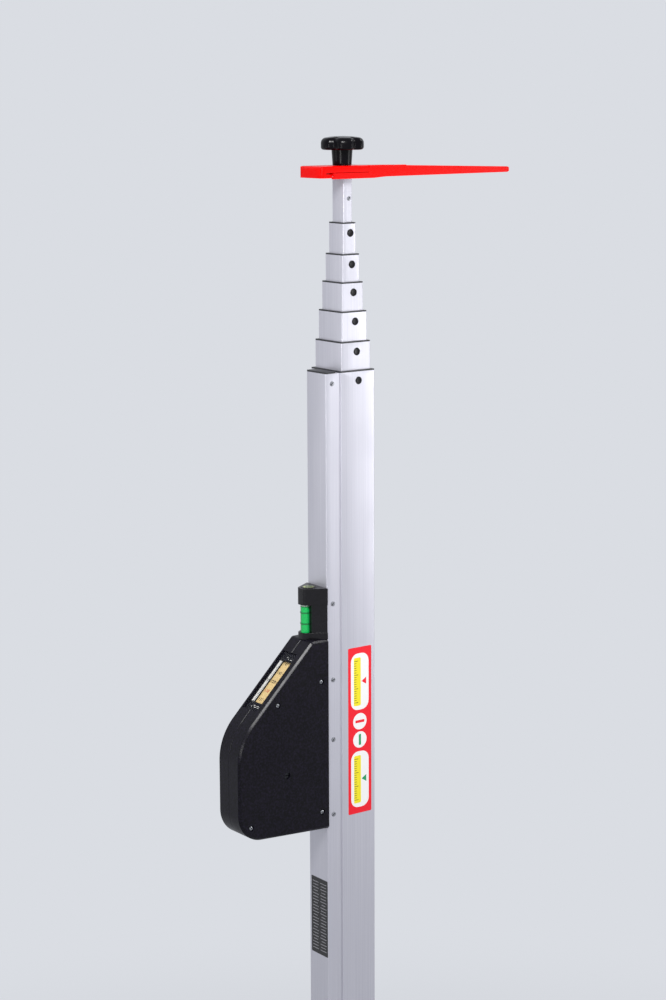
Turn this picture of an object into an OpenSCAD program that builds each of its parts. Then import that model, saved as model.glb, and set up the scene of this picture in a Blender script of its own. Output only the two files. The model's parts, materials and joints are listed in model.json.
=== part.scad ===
// Telescopic height measuring pole for pole vault bars.
// A two-chamber aluminium mast holds six rectangular tubes that draw out one from another.
// A tape runs from a spring reel, past a reading window, down the mast's side channel,
// round a roller in the foot and up to the innermost tube, which carries the red pointer.
// Origin: centre of the tube stack at the ground. +Z is up, the front faces -Y,
// and the pointer reaches towards +X.

/* [Mast] */
// Height of the mast's top edge above the ground
mast_top = 1200; // [1100:10:1400]
// Width of the main chamber, left to right
body_w = 38; // [37.6:0.1:38.4]
// Depth of the main chamber, front to back
body_d = 45.4; // [45:0.1:45.8]
// Wall of the extrusion
body_wall = 1.6; // [1.5:0.05:1.8]

/* [Tape channel] */
// How far the tape channel stands out to the left of the main chamber
channel_out = 16.2; // [15.8:0.1:16.6]
// Depth of the channel, front to back
channel_d = 29; // [28.6:0.1:29.4]
// How far the channel's front lies behind the main front
channel_setback = 1.1; // [0.8:0.1:1.4]
// Solid web between the channel and the main chamber
channel_web = 4.9; // [4.5:0.1:5]

/* [Telescopic tubes] */
// Width of the innermost tube
tube_w = 9.6; // [9.4:0.1:9.8]
// Depth of the innermost tube
tube_d = 17; // [16.8:0.1:17.2]
// Wall of every drawn tube
tube_wall = 1.1; // [1:0.05:1.1]
// Growth in width and depth from one tube to the next
tube_step = 4.6; // [4.5:0.05:4.6]
// Thickness of the black collar on each tube mouth
collar_t = 1.2; // [1:0.1:1.4]

/* [Locks] */
// Diameter of the round lock buttons
button_d = 7; // [6:0.5:7.5]
// Depth of a button's centre below its tube's top
button_drop = 9.4; // [9:0.1:10]
// How far a button stands proud
button_proud = 0.6; // [0.5:0.1:0.6]

/* [Pointer] */
// Height of the pointer's reading edge above the mast's top
pointer_rise = 171.9; // [170:0.1:173]
// Height of the pointer's flanges
pointer_h = 10.4; // [10:0.1:12]
// How far the clamp plate reaches to the front of the stud
pointer_front = 15.4; // [14:0.1:17]
// How far the clamp plate reaches to the rear of the stud
pointer_rear = 18; // [15:0.1:19]
// Reach of the pointer's tip from the pole's axis
pointer_reach = 184; // [150:2:220]
// Sheet thickness of the pointer
pointer_t = 2; // [1.5:0.1:2]

/* [Knob] */
// Diameter over the knob's lobes
knob_d = 39.4; // [36:0.2:42]
// Number of lobes
knob_lobes = 5; // [5:1:6]
// Height of the knob from its seat to its top
knob_h = 25.6; // [24:0.2:28]

/* [Reel housing] */
// Wall of the moulded half shells
shell_wall = 2.5; // [2:0.1:2.5]
// Rounding of the shells' rims
rim_r = 2; // [1.5:0.5:3]
// How far the shells stand proud of the tape channel, front and rear
shell_proud = 2.3; // [2.1:0.1:2.5]
// Height of the reel's axle below the mast's top
reel_drop = 365.3; // [364:0.1:367]
// Depth of the housing's top below the mast's top
housing_top_drop = 244.5; // [244:0.1:245]

/* [Hidden] */
$fn = 48;

// Main chamber and channel
body_left = -body_w / 2;
body_front = -body_d / 2;
edge_r = 0.8;
channel_left = body_left - channel_out;
channel_front = body_front + channel_setback;
channel_back = channel_front + channel_d;
channel_mid = (channel_front + channel_back) / 2;
cavity_left = channel_left + body_wall;
cavity_right = body_left - channel_web;
profile_bottom = 9.3;

// Tubes are numbered from 1, the innermost, to 6, the outermost; rise is each mouth's height
// above the mast's top
rise = [0, 180, 132, 104, 79, 53, 26];
seat_z = 52;
stop_gap = 0.3;
flange_t = 2;
guide_gap = 0.3;
foot_plug_fit = 0.05;
latch_up = 14;
latch_r = 1.9;
lock_x = 0.95;

// Tape and its rollers; the tape runs midway between the two shells
tape_w = 13;
tape_t = 0.25;
tape_gap = 0.35;
tape_y = channel_mid;
riser_y = -3;
riser_x = -2;
channel_tape_x = -27.5;
pin_r = 1.5;
running = 0.05;
button_hole_r = button_d / 2 + running;

// Reel
reel_c = [-82.1, mast_top - reel_drop];
coil_r = 38.5;
hub_r = 31;
drum_r = 41;
axle_r = 4;

// Faces of the reel housing, the left end of its outline and the radii of its corners
shell_front = channel_front - shell_proud;
shell_back = channel_back + shell_proud;
housing_left = -135.3;
housing_low_drop = 394.3;
housing_low_r = 26.4;
housing_left_r = 52.9;
housing_corner_r = 4;
housing_right = channel_left + housing_corner_r;

// Sloping edge of the housing, from its top corner down to the left, and the window in it
slope_top = [-53.6, mast_top - housing_top_drop];
window_from = 25.2;
window_to = 71.5;
window_near = -15.2;
window_far = 4.2;
window_seat = 1.5;
pane_margin = 9;
pane_rim = 1.9;

// Rollers, as [x, z] centres and barrel radii
low_r = 4;
high_r = 4;
turn_r = 7.5;
return_r = 12.4;
low_c = on_slope(82, 4.5 + low_r);
high_c = on_slope(14, 4.5 + high_r);
turn_c = [channel_tape_x - turn_r - tape_gap, mast_top - 256.5];
return_c = [(channel_tape_x + riser_x) / 2, 27];

// Level holder: a wedge in plan, half as deep at its root and at its nose as these say, between
// whose cap and base plate the tubular level stands free
holder_nose_x = -54.6;
holder_nose = 4.4;
holder_nose_r = 4;
holder_root = 16.3;
holder_top = mast_top - 197;
holder_bottom = mast_top - housing_top_drop;
notch_top = mast_top - 212.5;
notch_bottom = mast_top - 238.4;
notch_x = -47.6;
notch_relief = 0.5;
vial_x = -49.1;
vial_r = 4.6;
bullseye_x = -45.4;
bullseye_r = 7.2;

// Pointer's left end, the right end of its clamp plate, and the outer radius of its bends
pointer_left = -34.3;
plate_end = 20;
pointer_bend = 2.6;
knob_seat = mast_top + pointer_rise + pointer_h + 0.3;

// Heights of the screws in the channel's front, below the mast's top
cap_screw_drop = 10.2;
holder_screw_drop = 212.5;
shell_screw_drops = [284.1, 341, 413];
channel_screw_x = -28.3;

// Screws through the housing's front, as [x, height below the mast's top]
shell_screws = [[-43.2, 283.3], [-92, 297.6], [-43, 407.4], [-122.5, 407]];
screw_head_r = 2.5;
screw_sink = 0.9;
boss_r = 4;

// Screw that holds the end plug in the innermost tube
end_screw_x = 1.1;
end_screw_z = mast_top + 153.1;

// Stickers: width, height and centre on the mast's front and on the channel's left side
red_label_size = [26.7, 159.8];
red_label_x = 1.45;
red_label_z = mast_top - 337.3;
black_label_size = [25.4, 75];
black_label_y = -8.1;
black_label_z = mast_top - 515.5;
label_t = 0.15;

// Returns the outer width and depth of tube k
function width_of(k) = tube_w + tube_step * (k - 1);
function depth_of(k) = tube_d + tube_step * (k - 1);
// Height of the underside of tube k's guide foot when the pole is closed
function foot_z(k) = seat_z + stop_gap + (k == 1 ? rise[2] + 26 : rise[k]) - rise[6];
function foot_h(k) = k == 1 ? 26 : foot_z(k - 1) - foot_z(k) - stop_gap;
function mouth_z(k) = mast_top + rise[k];

// Point on the sloping edge, s along it from the top and deep below its surface, and the
// sloping edge's height at x
function on_slope(s, deep) = slope_top + [(-s + deep) / sqrt(2), (-s - deep) / sqrt(2)];
function slope_z(x) = slope_top.y + x - slope_top.x;

// Points along an arc, and a rectangle with rounded corners
function arc(c, r, a0, a1, n = 6) =
    [for (i = [0:n]) c + r * [cos(a0 + (a1 - a0) * i / n), sin(a0 + (a1 - a0) * i / n)]];
function soft_rect(w, d, r) = concat(
    arc([w / 2 - r, d / 2 - r], r, 0, 90, 4), arc([r - w / 2, d / 2 - r], r, 90, 180, 4),
    arc([r - w / 2, r - d / 2], r, 180, 270, 4), arc([w / 2 - r, r - d / 2], r, 270, 360, 4));

// Angle at which the upper outer tangent of two circles touches both of them
function tangent_angle(c1, r1, c2, r2) =
    atan2(c2.y - c1.y, c2.x - c1.x) + 90 + asin((r2 - r1) / norm(c2 - c1));

// Both sides of a strip of thickness t that follows the points p
function step_dir(p, i) = let (d = p[min(i + 1, len(p) - 1)] - p[max(i - 1, 0)]) d / norm(d);
function strip(p, t) = concat(
    [for (i = [0:len(p) - 1]) p[i] + t / 2 * [-step_dir(p, i).y, step_dir(p, i).x]],
    [for (i = [len(p) - 1:-1:0]) p[i] - t / 2 * [-step_dir(p, i).y, step_dir(p, i).x]]);

// Extrudes a drawing made in x and height along the depth
module along_y(y0, y1) {
    translate([0, y1, 0])
        rotate([90, 0, 0])
            linear_extrude(y1 - y0)
                children();
}

// Round bar along the depth, centred at c = [x, height]
module bar_y(c, r, y0, y1) {
    translate([c.x, y1, c.y])
        rotate([90, 0, 0])
            cylinder(r = r, h = y1 - y0);
}

// Rectangular tube between two heights
module rect_tube(w, d, wall, z0, z1) {
    translate([0, 0, z0])
        linear_extrude(z1 - z0)
            difference() {
                polygon(soft_rect(w, d, edge_r));
                polygon(soft_rect(w - 2 * wall, d - 2 * wall, edge_r / 2));
            }
}

// Front-facing button or latch hole in the wall whose outer face lies at y
module front_hole(x, y, z, r, wall) {
    bar_y([x, z], r, y - 1, y + wall + 0.2);
}

// Section of the two-chamber extrusion
module mast_section(grow = 0) {
    offset_w = body_w + 2 * grow;
    offset_d = body_d + 2 * grow;
    polygon(soft_rect(offset_w, offset_d, edge_r + grow));
    translate([(channel_left + body_left) / 2 + 0.5, channel_mid])
        polygon(soft_rect(channel_out + 1 + 2 * grow, channel_d + 2 * grow, edge_r + grow));
}

module body_profile() {
    top = mast_top - collar_t;
    color([0.78, 0.78, 0.82])
    difference() {
        translate([0, 0, profile_bottom])
            linear_extrude(top - profile_bottom)
                difference() {
                    mast_section();
                    polygon(soft_rect(body_w - 2 * body_wall, body_d - 2 * body_wall, edge_r / 2));
                    translate([(cavity_left + cavity_right) / 2, channel_mid])
                        square([cavity_right - cavity_left, channel_d - 2 * body_wall], center = true);
                    // Hairline groove between the channel and the main front
                    translate([body_left - 1.6, channel_front - 1])
                        square([0.6, 1.25]);
                }
        // Hole of the lock button
        front_hole(lock_x, body_front, mast_top - button_drop, button_hole_r, body_wall);
        // Holes of the screws in the channel's front
        for (drop = concat([cap_screw_drop, holder_screw_drop], shell_screw_drops))
            front_hole(channel_screw_x, channel_front, mast_top - drop, 1.3, body_wall);
        // Slots for the mounting lugs of the level holder and the reel housing
        for (drop = concat([holder_screw_drop], shell_screw_drops))
            translate([channel_left - 1, channel_front + body_wall + 0.1, mast_top - drop - 6.2])
                cube([body_wall + 2, 3.3, 12.4]);
        // Slot through which the tape enters the channel, and the channel roller reaches in
        translate([channel_left - 1, tape_y - 8.3, mast_top - 267])
            cube([body_wall + 2, 16.6, 20]);
        bar_y(turn_c, pin_r + 0.1, channel_front + body_wall + 0.5, channel_back - body_wall + 0.5);
        // Opening in the web round the return roller
        translate([cavity_right - 1, riser_y - 8.3, profile_bottom - 1])
            cube([channel_web + body_wall + 2, 16.6, return_c.y + 16 - profile_bottom]);
    }
}

// Collar on a tube mouth: a thin flange over the wall's end and a sleeve in the gap
module mouth_collar(w, d, wall, inner_w, inner_d, top) {
    color([0.06, 0.06, 0.07])
    difference() {
        union() {
            translate([0, 0, top - collar_t])
                linear_extrude(collar_t)
                    polygon(soft_rect(w, d, edge_r));
            translate([0, 0, top - collar_t - 3.6])
                linear_extrude(3.6)
                    polygon(soft_rect(w - 2 * wall - 0.1, d - 2 * wall - 0.1, edge_r / 2));
        }
        translate([0, 0, top - collar_t - 4.6])
            linear_extrude(collar_t + 6)
                polygon(soft_rect(inner_w + 0.5, inner_d + 0.5, edge_r + 0.2));
    }
}

module body_collar() {
    mouth_collar(body_w, body_d, body_wall, width_of(6), depth_of(6), mast_top);
}

module tube_collar(k) {
    mouth_collar(width_of(k), depth_of(k), tube_wall, width_of(k - 1), depth_of(k - 1), mouth_z(k));
}

// Drawn tube k with its button hole near the mouth and its latch hole near the foot
module drawn_tube(k) {
    top = k == 1 ? mouth_z(1) : mouth_z(k) - collar_t;
    color([0.84, 0.84, 0.87])
    difference() {
        rect_tube(width_of(k), depth_of(k), tube_wall, foot_z(k) + flange_t, top);
        if (k > 1)
            front_hole(lock_x, -depth_of(k) / 2, mouth_z(k) - button_drop, button_hole_r, tube_wall);
        front_hole(lock_x, -depth_of(k) / 2, foot_z(k) + latch_up, latch_r + 0.1, tube_wall);
        if (k == 1)
            front_hole(end_screw_x, -depth_of(1) / 2, end_screw_z, 1.4, tube_wall);
    }
}

// Guide foot of tube k: a plug with a sliding flange, a tape slot and a sprung latch pin
module guide_foot(k) {
    inner_w = width_of(k) - 2 * tube_wall - 2 * foot_plug_fit;
    inner_d = depth_of(k) - 2 * tube_wall - 2 * foot_plug_fit;
    next_w = k == 6 ? body_w - 2 * body_wall : width_of(k + 1) - 2 * tube_wall;
    next_d = k == 6 ? body_d - 2 * body_wall : depth_of(k + 1) - 2 * tube_wall;
    bottom = foot_z(k);
    color([0.1, 0.1, 0.11]) {
        difference() {
            union() {
                translate([0, 0, bottom])
                    linear_extrude(flange_t)
                        polygon(soft_rect(next_w - 2 * guide_gap, next_d - 2 * guide_gap, edge_r));
                translate([0, 0, bottom])
                    linear_extrude(foot_h(k))
                        polygon(soft_rect(inner_w, inner_d, edge_r / 2));
            }
            // Slot for the tape; the innermost foot holds the tape's end instead
            if (k > 1)
                translate([riser_x - 1.1, riser_y - tape_w / 2 - 0.1, bottom - 1])
                    cube([2, tape_w + 0.6, foot_h(k) + 2]);
            // Moulded pocket behind the tape slot
            if (k > 2)
                translate([4.6, -inner_d / 2 + 4, bottom + flange_t + 1])
                    cube([inner_w / 2 - 6.6, inner_d - 8, foot_h(k)]);
        }
        // Latch pin, drawn in flush with the tube's face
        bar_y([lock_x, bottom + latch_up], latch_r, -depth_of(k) / 2 - 0.05, -inner_d / 2 + 0.5);
    }
}

// Lock button in a wall whose outer face lies at y = -d / 2
module lock_button(d, wall, z) {
    face = -d / 2;
    color([0.05, 0.05, 0.06]) {
        difference() {
            bar_y([lock_x, z], button_d / 2, face - button_proud, face + wall + 0.2);
            // Finger dimple
            translate([lock_x, face - button_proud - 8.6, z])
                sphere(r = 9);
        }
        bar_y([lock_x, z], button_d / 2 + 0.8, face + wall + 0.05, face + wall + 0.4);
    }
}

// Cap that closes the top of the tape channel
module channel_cap() {
    color([0.06, 0.06, 0.07])
    difference() {
        union() {
            translate([(channel_left + cavity_right) / 2, channel_mid, mast_top - collar_t])
                linear_extrude(1.4)
                    polygon(soft_rect(cavity_right - channel_left, channel_d, edge_r));
            translate([cavity_left + 0.1, channel_front + body_wall + 0.1, mast_top - 16])
                cube([cavity_right - cavity_left - 0.2, channel_d - 2 * body_wall - 0.2, 15]);
        }
        // Moulding recess under the cap
        translate([cavity_left + 2, channel_front + body_wall + 7, mast_top - 17])
            cube([cavity_right - cavity_left - 4, channel_d - 2 * body_wall - 9, 14]);
        front_hole(channel_screw_x, channel_front + body_wall, mast_top - cap_screw_drop, 1.25, 6);
    }
}

// Low-head screw that points into +Y, with a cross recess in its head
module face_screw(x, y, z, head_r, head_h, shank_r, length) {
    difference() {
        union() {
            bar_y([x, z], head_r, y - head_h, y);
            bar_y([x, z], shank_r, y, y + length);
        }
        for (a = [0, 90])
            translate([x, y - head_h, z])
                rotate([0, a, 0])
                    cube([head_r * 1.1, head_h, 0.6], center = true);
    }
}

module channel_screws() {
    color([0.62, 0.63, 0.65])
    for (drop = concat([cap_screw_drop, holder_screw_drop], shell_screw_drops))
        face_screw(channel_screw_x, channel_front, mast_top - drop, 2.3, 0.5, 1.2, 4.4);
}

// Foot: a moulded cap with a skirt round the extrusion, a fork for the return roller
// and posts on which the tube stack rests
module foot_cap() {
    skin = 1.6;
    fork_y = 8.1;
    color([0.08, 0.08, 0.09])
    difference() {
        union() {
            translate([0, 0, 5])
                linear_extrude(4)
                    mast_section(skin);
            translate([0, 0, 5])
                linear_extrude(19)
                    difference() {
                        mast_section(skin);
                        mast_section(0.1);
                    }
            // Fork cheeks
            for (side = [-1, 1])
                translate([body_left + body_wall + 0.2, riser_y + side * (fork_y + 1.5) - 1.5, 8])
                    cube([10.4, 3, seat_z - 8]);
            // Posts and rib on the right
            for (y = [-16, 13])
                translate([6, y, 8])
                    cube([10.8, 3, seat_z - 8]);
            translate([9, -16, 8])
                cube([3, 32, seat_z - 8]);
        }
        bar_y(return_c, 2 + 0.02, riser_y - 12, riser_y + 12);
    }
}

module foot_pad() {
    color([0.1, 0.1, 0.1])
    difference() {
        linear_extrude(5)
            mast_section(1);
        // Tread grooves on the underside, front to back
        for (x = [-30, -20, -10, 10])
            translate([x - 1, -30, -1])
                cube([2, 60, 2]);
    }
}

// Flanged tape roller on a pin, axis along the depth
module tape_roller(c, r, y, pin) {
    half = tape_w / 2 + 0.5;
    color([0.85, 0.84, 0.8])
    translate([c.x, y, c.y])
        rotate([90, 0, 0])
            rotate_extrude()
                polygon([[pin + running, -half - 0.8], [r + 1, -half - 0.8], [r + 1, -half - 0.2],
                    [r, -half], [r, half], [r + 1, half + 0.2], [r + 1, half + 0.8],
                    [pin + running, half + 0.8]]);
}

module roller_window_low() {
    tape_roller(low_c, low_r, tape_y, pin_r);
}

module roller_window_high() {
    tape_roller(high_c, high_r, tape_y, pin_r);
}

module roller_channel() {
    tape_roller(turn_c, turn_r, tape_y, pin_r);
}

module return_roller() {
    tape_roller(return_c, return_r, riser_y, 2);
}

module return_roller_pin() {
    color([0.7, 0.7, 0.72])
    bar_y(return_c, 2, riser_y - 11.1, riser_y + 11.1);
}

module guide_roller_pins() {
    color([0.7, 0.7, 0.72]) {
        for (c = [low_c, high_c])
            bar_y(c, pin_r, shell_front + shell_wall - 1, shell_back - shell_wall + 1);
        // The channel roller's pin lies in a notch of the channel's side
        bar_y(turn_c, pin_r, channel_front + body_wall + 0.6, channel_back - body_wall - 0.6);
    }
}

// Corners of the housing's outline as [x, height, radius], clockwise from the lower left; the left
// and the top one touch the sloping edge, and the right ones lie inside the channel
housing_corners = [
    [housing_left + housing_low_r, mast_top - housing_low_drop, housing_low_r],
    [housing_left + housing_left_r,
        slope_z(housing_left + housing_left_r) - sqrt(2) * housing_left_r, housing_left_r],
    [slope_top.x + (sqrt(2) - 1) * housing_corner_r, slope_top.y - housing_corner_r, housing_corner_r],
    [housing_right, slope_top.y - housing_corner_r, housing_corner_r],
    [housing_right, mast_top - 421.1, housing_corner_r]];

// Solid between y0 and y1 inside the housing's outline drawn in by inset, with a soft rim
// of radius rim at y0
module housing_form(inset, rim, y0, y1) {
    hull()
        for (c = housing_corners)
            translate([c[0], y0, c[1]])
                rotate([-90, 0, 0])
                    rotate_extrude($fn = 64)
                        polygon(concat([[0, 0]],
                            rim > 0 ? arc([c[2] - inset - rim, rim], rim, -90, 0, 4) : [[c[2] - inset, 0]],
                            [[c[2] - inset, y1 - y0], [0, y1 - y0]]));
}

// One half shell with its face at shell_front, open towards the seam. Its screw holes have
// radius bore and start at depth bore_from.
module half_shell(bore, bore_from) {
    // The bosses of the axle and of the pins end just short of the reel
    pin_boss = 8;
    difference() {
        union() {
            difference() {
                housing_form(0, rim_r, shell_front, channel_mid);
                housing_form(shell_wall, 0, shell_front + shell_wall, channel_mid + 1);
            }
            // Screw bosses, and the bosses of the reel's axle and of the window rollers' pins
            for (s = shell_screws)
                bar_y([s.x, mast_top - s.y], boss_r, shell_front + 1, channel_mid);
            bar_y(reel_c, axle_r + 3, shell_front + 1, shell_front + pin_boss);
            for (c = [low_c, high_c])
                bar_y(c, 3.2, shell_front + 1, shell_front + pin_boss);
            // Stiffening ribs from the two lower screw bosses down to the wall
            translate([shell_screws[2].x - 0.8, shell_front + 1, mast_top - shell_screws[2].y - 15.5])
                cube([1.6, 9, 12]);
            translate([shell_screws[3].x - 0.8, shell_front + 1, mast_top - shell_screws[3].y - 8])
                cube([1.6, 9, 4.5]);
        }
        // The side that meets the channel is open
        translate([channel_left, shell_front - 1, mast_top - 440])
            cube([30, shell_back - shell_front + 2, 220]);
        for (s = shell_screws)
            bar_y([s.x, mast_top - s.y], bore, shell_front + bore_from, channel_mid + 1);
        bar_y(reel_c, axle_r + 0.02, shell_front + 1.4, channel_mid + 1);
        for (c = [low_c, high_c])
            bar_y(c, pin_r + 0.02, shell_front + shell_wall - 1, channel_mid + 1);
    }
}

// Box on the sloping edge, from s0 to s1 along it and from deep0 to deep1 below its surface
module slope_box(s0, s1, deep0, deep1, y0, y1) {
    along_y(y0, y1)
        polygon([on_slope(s0, deep0), on_slope(s1, deep0), on_slope(s1, deep1), on_slope(s0, deep1)]);
}

// Reading window: the seat of the pane and the opening under it
module window_cut() {
    slope_box(window_from - pane_margin - 0.2, window_to + pane_margin + 0.2, -1, window_seat,
        window_near - pane_rim - 0.2, window_far + pane_rim + 0.2);
    slope_box(window_from, window_to, -1, shell_wall + 3, window_near, window_far);
}

// Lug that reaches through the channel's side, behind its front wall, and takes one of its
// screws. Its root stands left of the channel and starts at root_y.
module mounting_lug(root_y, drop) {
    near = channel_front + body_wall + 0.3;
    bottom = mast_top - drop - 6;
    difference() {
        union() {
            translate([channel_left - 3, near, bottom])
                cube([13.5, 3, 12]);
            translate([channel_left - 3, root_y, bottom])
                cube([2.9, near + 3 - root_y, 12]);
        }
        front_hole(channel_screw_x, channel_front + body_wall, mast_top - drop, 1.25, 5);
    }
}

module housing_front() {
    color([0.13, 0.13, 0.14])
    difference() {
        union() {
            half_shell(1.6, -1);
            for (drop = shell_screw_drops)
                mounting_lug(shell_front + 1, drop);
        }
        window_cut();
        // Recesses of the screw heads, and the hole through which the axle's end shows
        for (s = shell_screws)
            bar_y([s.x, mast_top - s.y], screw_head_r + 0.3, shell_front - 1, shell_front + screw_sink);
        bar_y(reel_c, 2.4, shell_front - 1, shell_front + 2);
    }
}

// The rear shell is the front one's mirror image, with blind screw holes
module housing_rear() {
    color([0.13, 0.13, 0.14])
    difference() {
        translate([0, 2 * channel_mid, 0])
            mirror([0, 1, 0])
                half_shell(1.25, 2);
        window_cut();
    }
}

module housing_screws() {
    color([0.75, 0.75, 0.77])
    for (s = shell_screws)
        face_screw(s.x, shell_front + screw_sink, mast_top - s.y, screw_head_r, 0.7, 1.2, 22);
}

module reel_axle() {
    color([0.72, 0.72, 0.74])
    difference() {
        bar_y(reel_c, axle_r, shell_front + 1.5, shell_back - 1.5);
        // Slot that sets the return spring
        translate([reel_c.x - axle_r, shell_front + 1, reel_c.y - 0.5])
            cube([2 * axle_r, 1.7, 1]);
    }
}

// Drum: full rear flange, open front flange, rim that carries the tape and a spring well
module reel_drum() {
    half = tape_w / 2 + 0.6;
    color([0.25, 0.25, 0.27])
    translate([reel_c.x, tape_y, reel_c.y])
        rotate([90, 0, 0])
            difference() {
                rotate_extrude($fn = 96)
                    polygon([[axle_r + running, -half - 1.2], [drum_r, -half - 1.2], [drum_r, -half],
                        [hub_r, -half], [hub_r, half], [drum_r, half], [drum_r, half + 1.2],
                        [hub_r - 1.8, half + 1.2], [hub_r - 1.8, -half + 0.6], [axle_r + 2.5, -half + 0.6],
                        [axle_r + 2.5, half], [axle_r + running, half]]);
                // Lightening holes in the rear flange
                for (a = [0:60:300])
                    rotate([0, 0, a])
                        translate([18, 0, -half - 3])
                            cylinder(r = 5, h = 5);
            }
}

module tape_coil() {
    color([0.93, 0.75, 0.2])
    translate([reel_c.x, tape_y + tape_w / 2, reel_c.y])
        rotate([90, 0, 0])
            difference() {
                cylinder(r = coil_r, h = tape_w, $fn = 96);
                translate([0, 0, -1])
                    cylinder(r = hub_r + 0.1, h = tape_w + 2, $fn = 96);
            }
}

// Flat spiral spring between the drum's hub sleeve and its rim
module return_spring() {
    turns = 6;
    steps = 20;
    inner = axle_r + 3;
    pitch = (hub_r - 2.6 - inner) / turns;
    line = [for (i = [0:turns * steps])
        let (a = i * 360 / steps, r = inner + pitch * i / steps) [r * cos(a), r * sin(a)]];
    color([0.5, 0.52, 0.56])
    translate([reel_c.x, tape_y + 4.5, reel_c.y])
        rotate([90, 0, 0])
            linear_extrude(9)
                polygon(strip(line, 0.5));
}

// Pane of the reading window
module window_lens() {
    color([0.8, 0.85, 0.88, 0.5])
    slope_box(window_from - pane_margin, window_to + pane_margin, 0.3, window_seat - 0.05,
        window_near - pane_rim, window_far + pane_rim);
}

// White index strip on the inside of the window's frame, over the tape's far edge
module index_strip() {
    color([0.93, 0.93, 0.9])
    slope_box(window_from - 1.5, window_to + 1.5, shell_wall, shell_wall + 1.1,
        tape_y + tape_w / 2 - 1.7, shell_back - shell_wall - 0.3);
}

// Tape from the coil past the window and over the channel roller
module window_tape() {
    coil_a = tangent_angle(reel_c, coil_r, low_c, low_r);
    low_a = 135;
    high_a = tangent_angle(high_c, high_r, turn_c, turn_r);
    line = concat(
        [reel_c + (coil_r + tape_gap) * [cos(coil_a), sin(coil_a)]],
        arc(low_c, low_r + tape_gap, coil_a, low_a, 4),
        arc(high_c, high_r + tape_gap, 135, high_a, 3),
        arc(turn_c, turn_r + tape_gap, high_a, 0, 9));
    color([0.95, 0.8, 0.3])
    along_y(tape_y - tape_w / 2, tape_y + tape_w / 2)
        polygon(strip(line, tape_t));
}

// Tape down the channel, leaning a little to meet the return roller, and round that roller
module channel_tape() {
    drop = turn_c.y - return_c.y;
    lean = atan((riser_y - tape_y) / drop);
    line = arc(return_c, return_r + tape_gap, 180, 360, 12);
    color([0.95, 0.8, 0.3]) {
        translate([channel_tape_x - tape_t / 2, tape_y, turn_c.y - 0.2])
            rotate([lean, 0, 0])
                translate([0, -tape_w / 2, -drop + 0.4])
                    cube([tape_t, tape_w, drop - 0.4]);
        along_y(riser_y - tape_w / 2, riser_y + tape_w / 2)
            polygon(strip(line, tape_t));
    }
}

// Free end of the tape, fixed under the innermost tube's foot
module tape_end() {
    color([0.95, 0.8, 0.3])
    translate([riser_x - tape_t / 2, riser_y - tape_w / 2, return_c.y + 0.3])
        cube([tape_t, tape_w, foot_z(1) - return_c.y - 0.3]);
}

// Wedge-shaped plan of the level holder, which stands against the channel, drawn in by inset
module holder_outline(inset = 0) {
    side_angle = atan2(holder_root - holder_nose, channel_left - holder_nose_x);
    root = holder_root - inset / cos(side_angle);
    nose_y = holder_nose - holder_nose_r * tan((90 - side_angle) / 2);
    nose_x = holder_nose_x + holder_nose_r;
    translate([0, channel_mid])
        polygon(concat([[channel_left, root]],
            arc([nose_x, nose_y], holder_nose_r - inset, 90 + side_angle, 180),
            arc([nose_x, -nose_y], holder_nose_r - inset, 180, 270 - side_angle),
            [[channel_left, -root]]));
}

module level_holder() {
    color([0.13, 0.13, 0.14])
    difference() {
        union() {
            // Cap, which carries the circular level, and base plate
            translate([0, 0, notch_top])
                linear_extrude(holder_top - notch_top)
                    holder_outline();
            translate([0, 0, holder_bottom])
                linear_extrude(notch_bottom - holder_bottom)
                    holder_outline();
            // Column behind the tubular level, set back a little
            translate([0, 0, notch_bottom - 0.1])
                linear_extrude(notch_top - notch_bottom + 0.2)
                    intersection() {
                        holder_outline(notch_relief);
                        translate([notch_x, channel_mid - 20])
                            square([20, 40]);
                    }
            mounting_lug(channel_front + body_wall + 0.3, holder_screw_drop);
        }
        // Round hollow beside the tubular level, and its sockets above and below
        translate([vial_x, channel_mid, notch_bottom])
            cylinder(r = vial_r + 0.3, h = notch_top - notch_bottom);
        translate([vial_x, channel_mid, notch_bottom - 2])
            cylinder(r = vial_r + 0.05, h = notch_top - notch_bottom + 4);
        // Seat of the circular level
        translate([bullseye_x, channel_mid, holder_top - 8])
            cylinder(r = bullseye_r + 0.05, h = 10);
    }
}

module tubular_vial() {
    color([0.3, 0.85, 0.4, 0.6])
    translate([vial_x, channel_mid, notch_bottom - 1.9])
        cylinder(r = vial_r, h = notch_top - notch_bottom + 3.8);
}

module bullseye_vial() {
    // Radius of the low dome, inside the vial's flat rim
    dome_r = bullseye_r - 1.6;
    color([0.85, 0.9, 0.6, 0.7])
    translate([bullseye_x, channel_mid, holder_top - 7.9])
        rotate_extrude()
            polygon(concat([[0, 0], [bullseye_r, 0], [bullseye_r, 8.1], [dome_r, 8.4]],
                [for (i = [1:6]) let (r = dome_r * (1 - i / 6)) [r, 8.65 - r * r / 250]]));
}

// Thin stickers
module red_label() {
    color([0.9, 0.1, 0.15])
    translate([red_label_x, body_front, red_label_z])
        rotate([90, 0, 0])
            linear_extrude(label_t)
                polygon(soft_rect(red_label_size.x, red_label_size.y, 1));
}

module black_label() {
    color([0.05, 0.05, 0.05])
    translate([channel_left, black_label_y, black_label_z])
        rotate([90, 0, -90])
            linear_extrude(label_t)
                polygon(soft_rect(black_label_size.x, black_label_size.y, 0.8));
}

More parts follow.
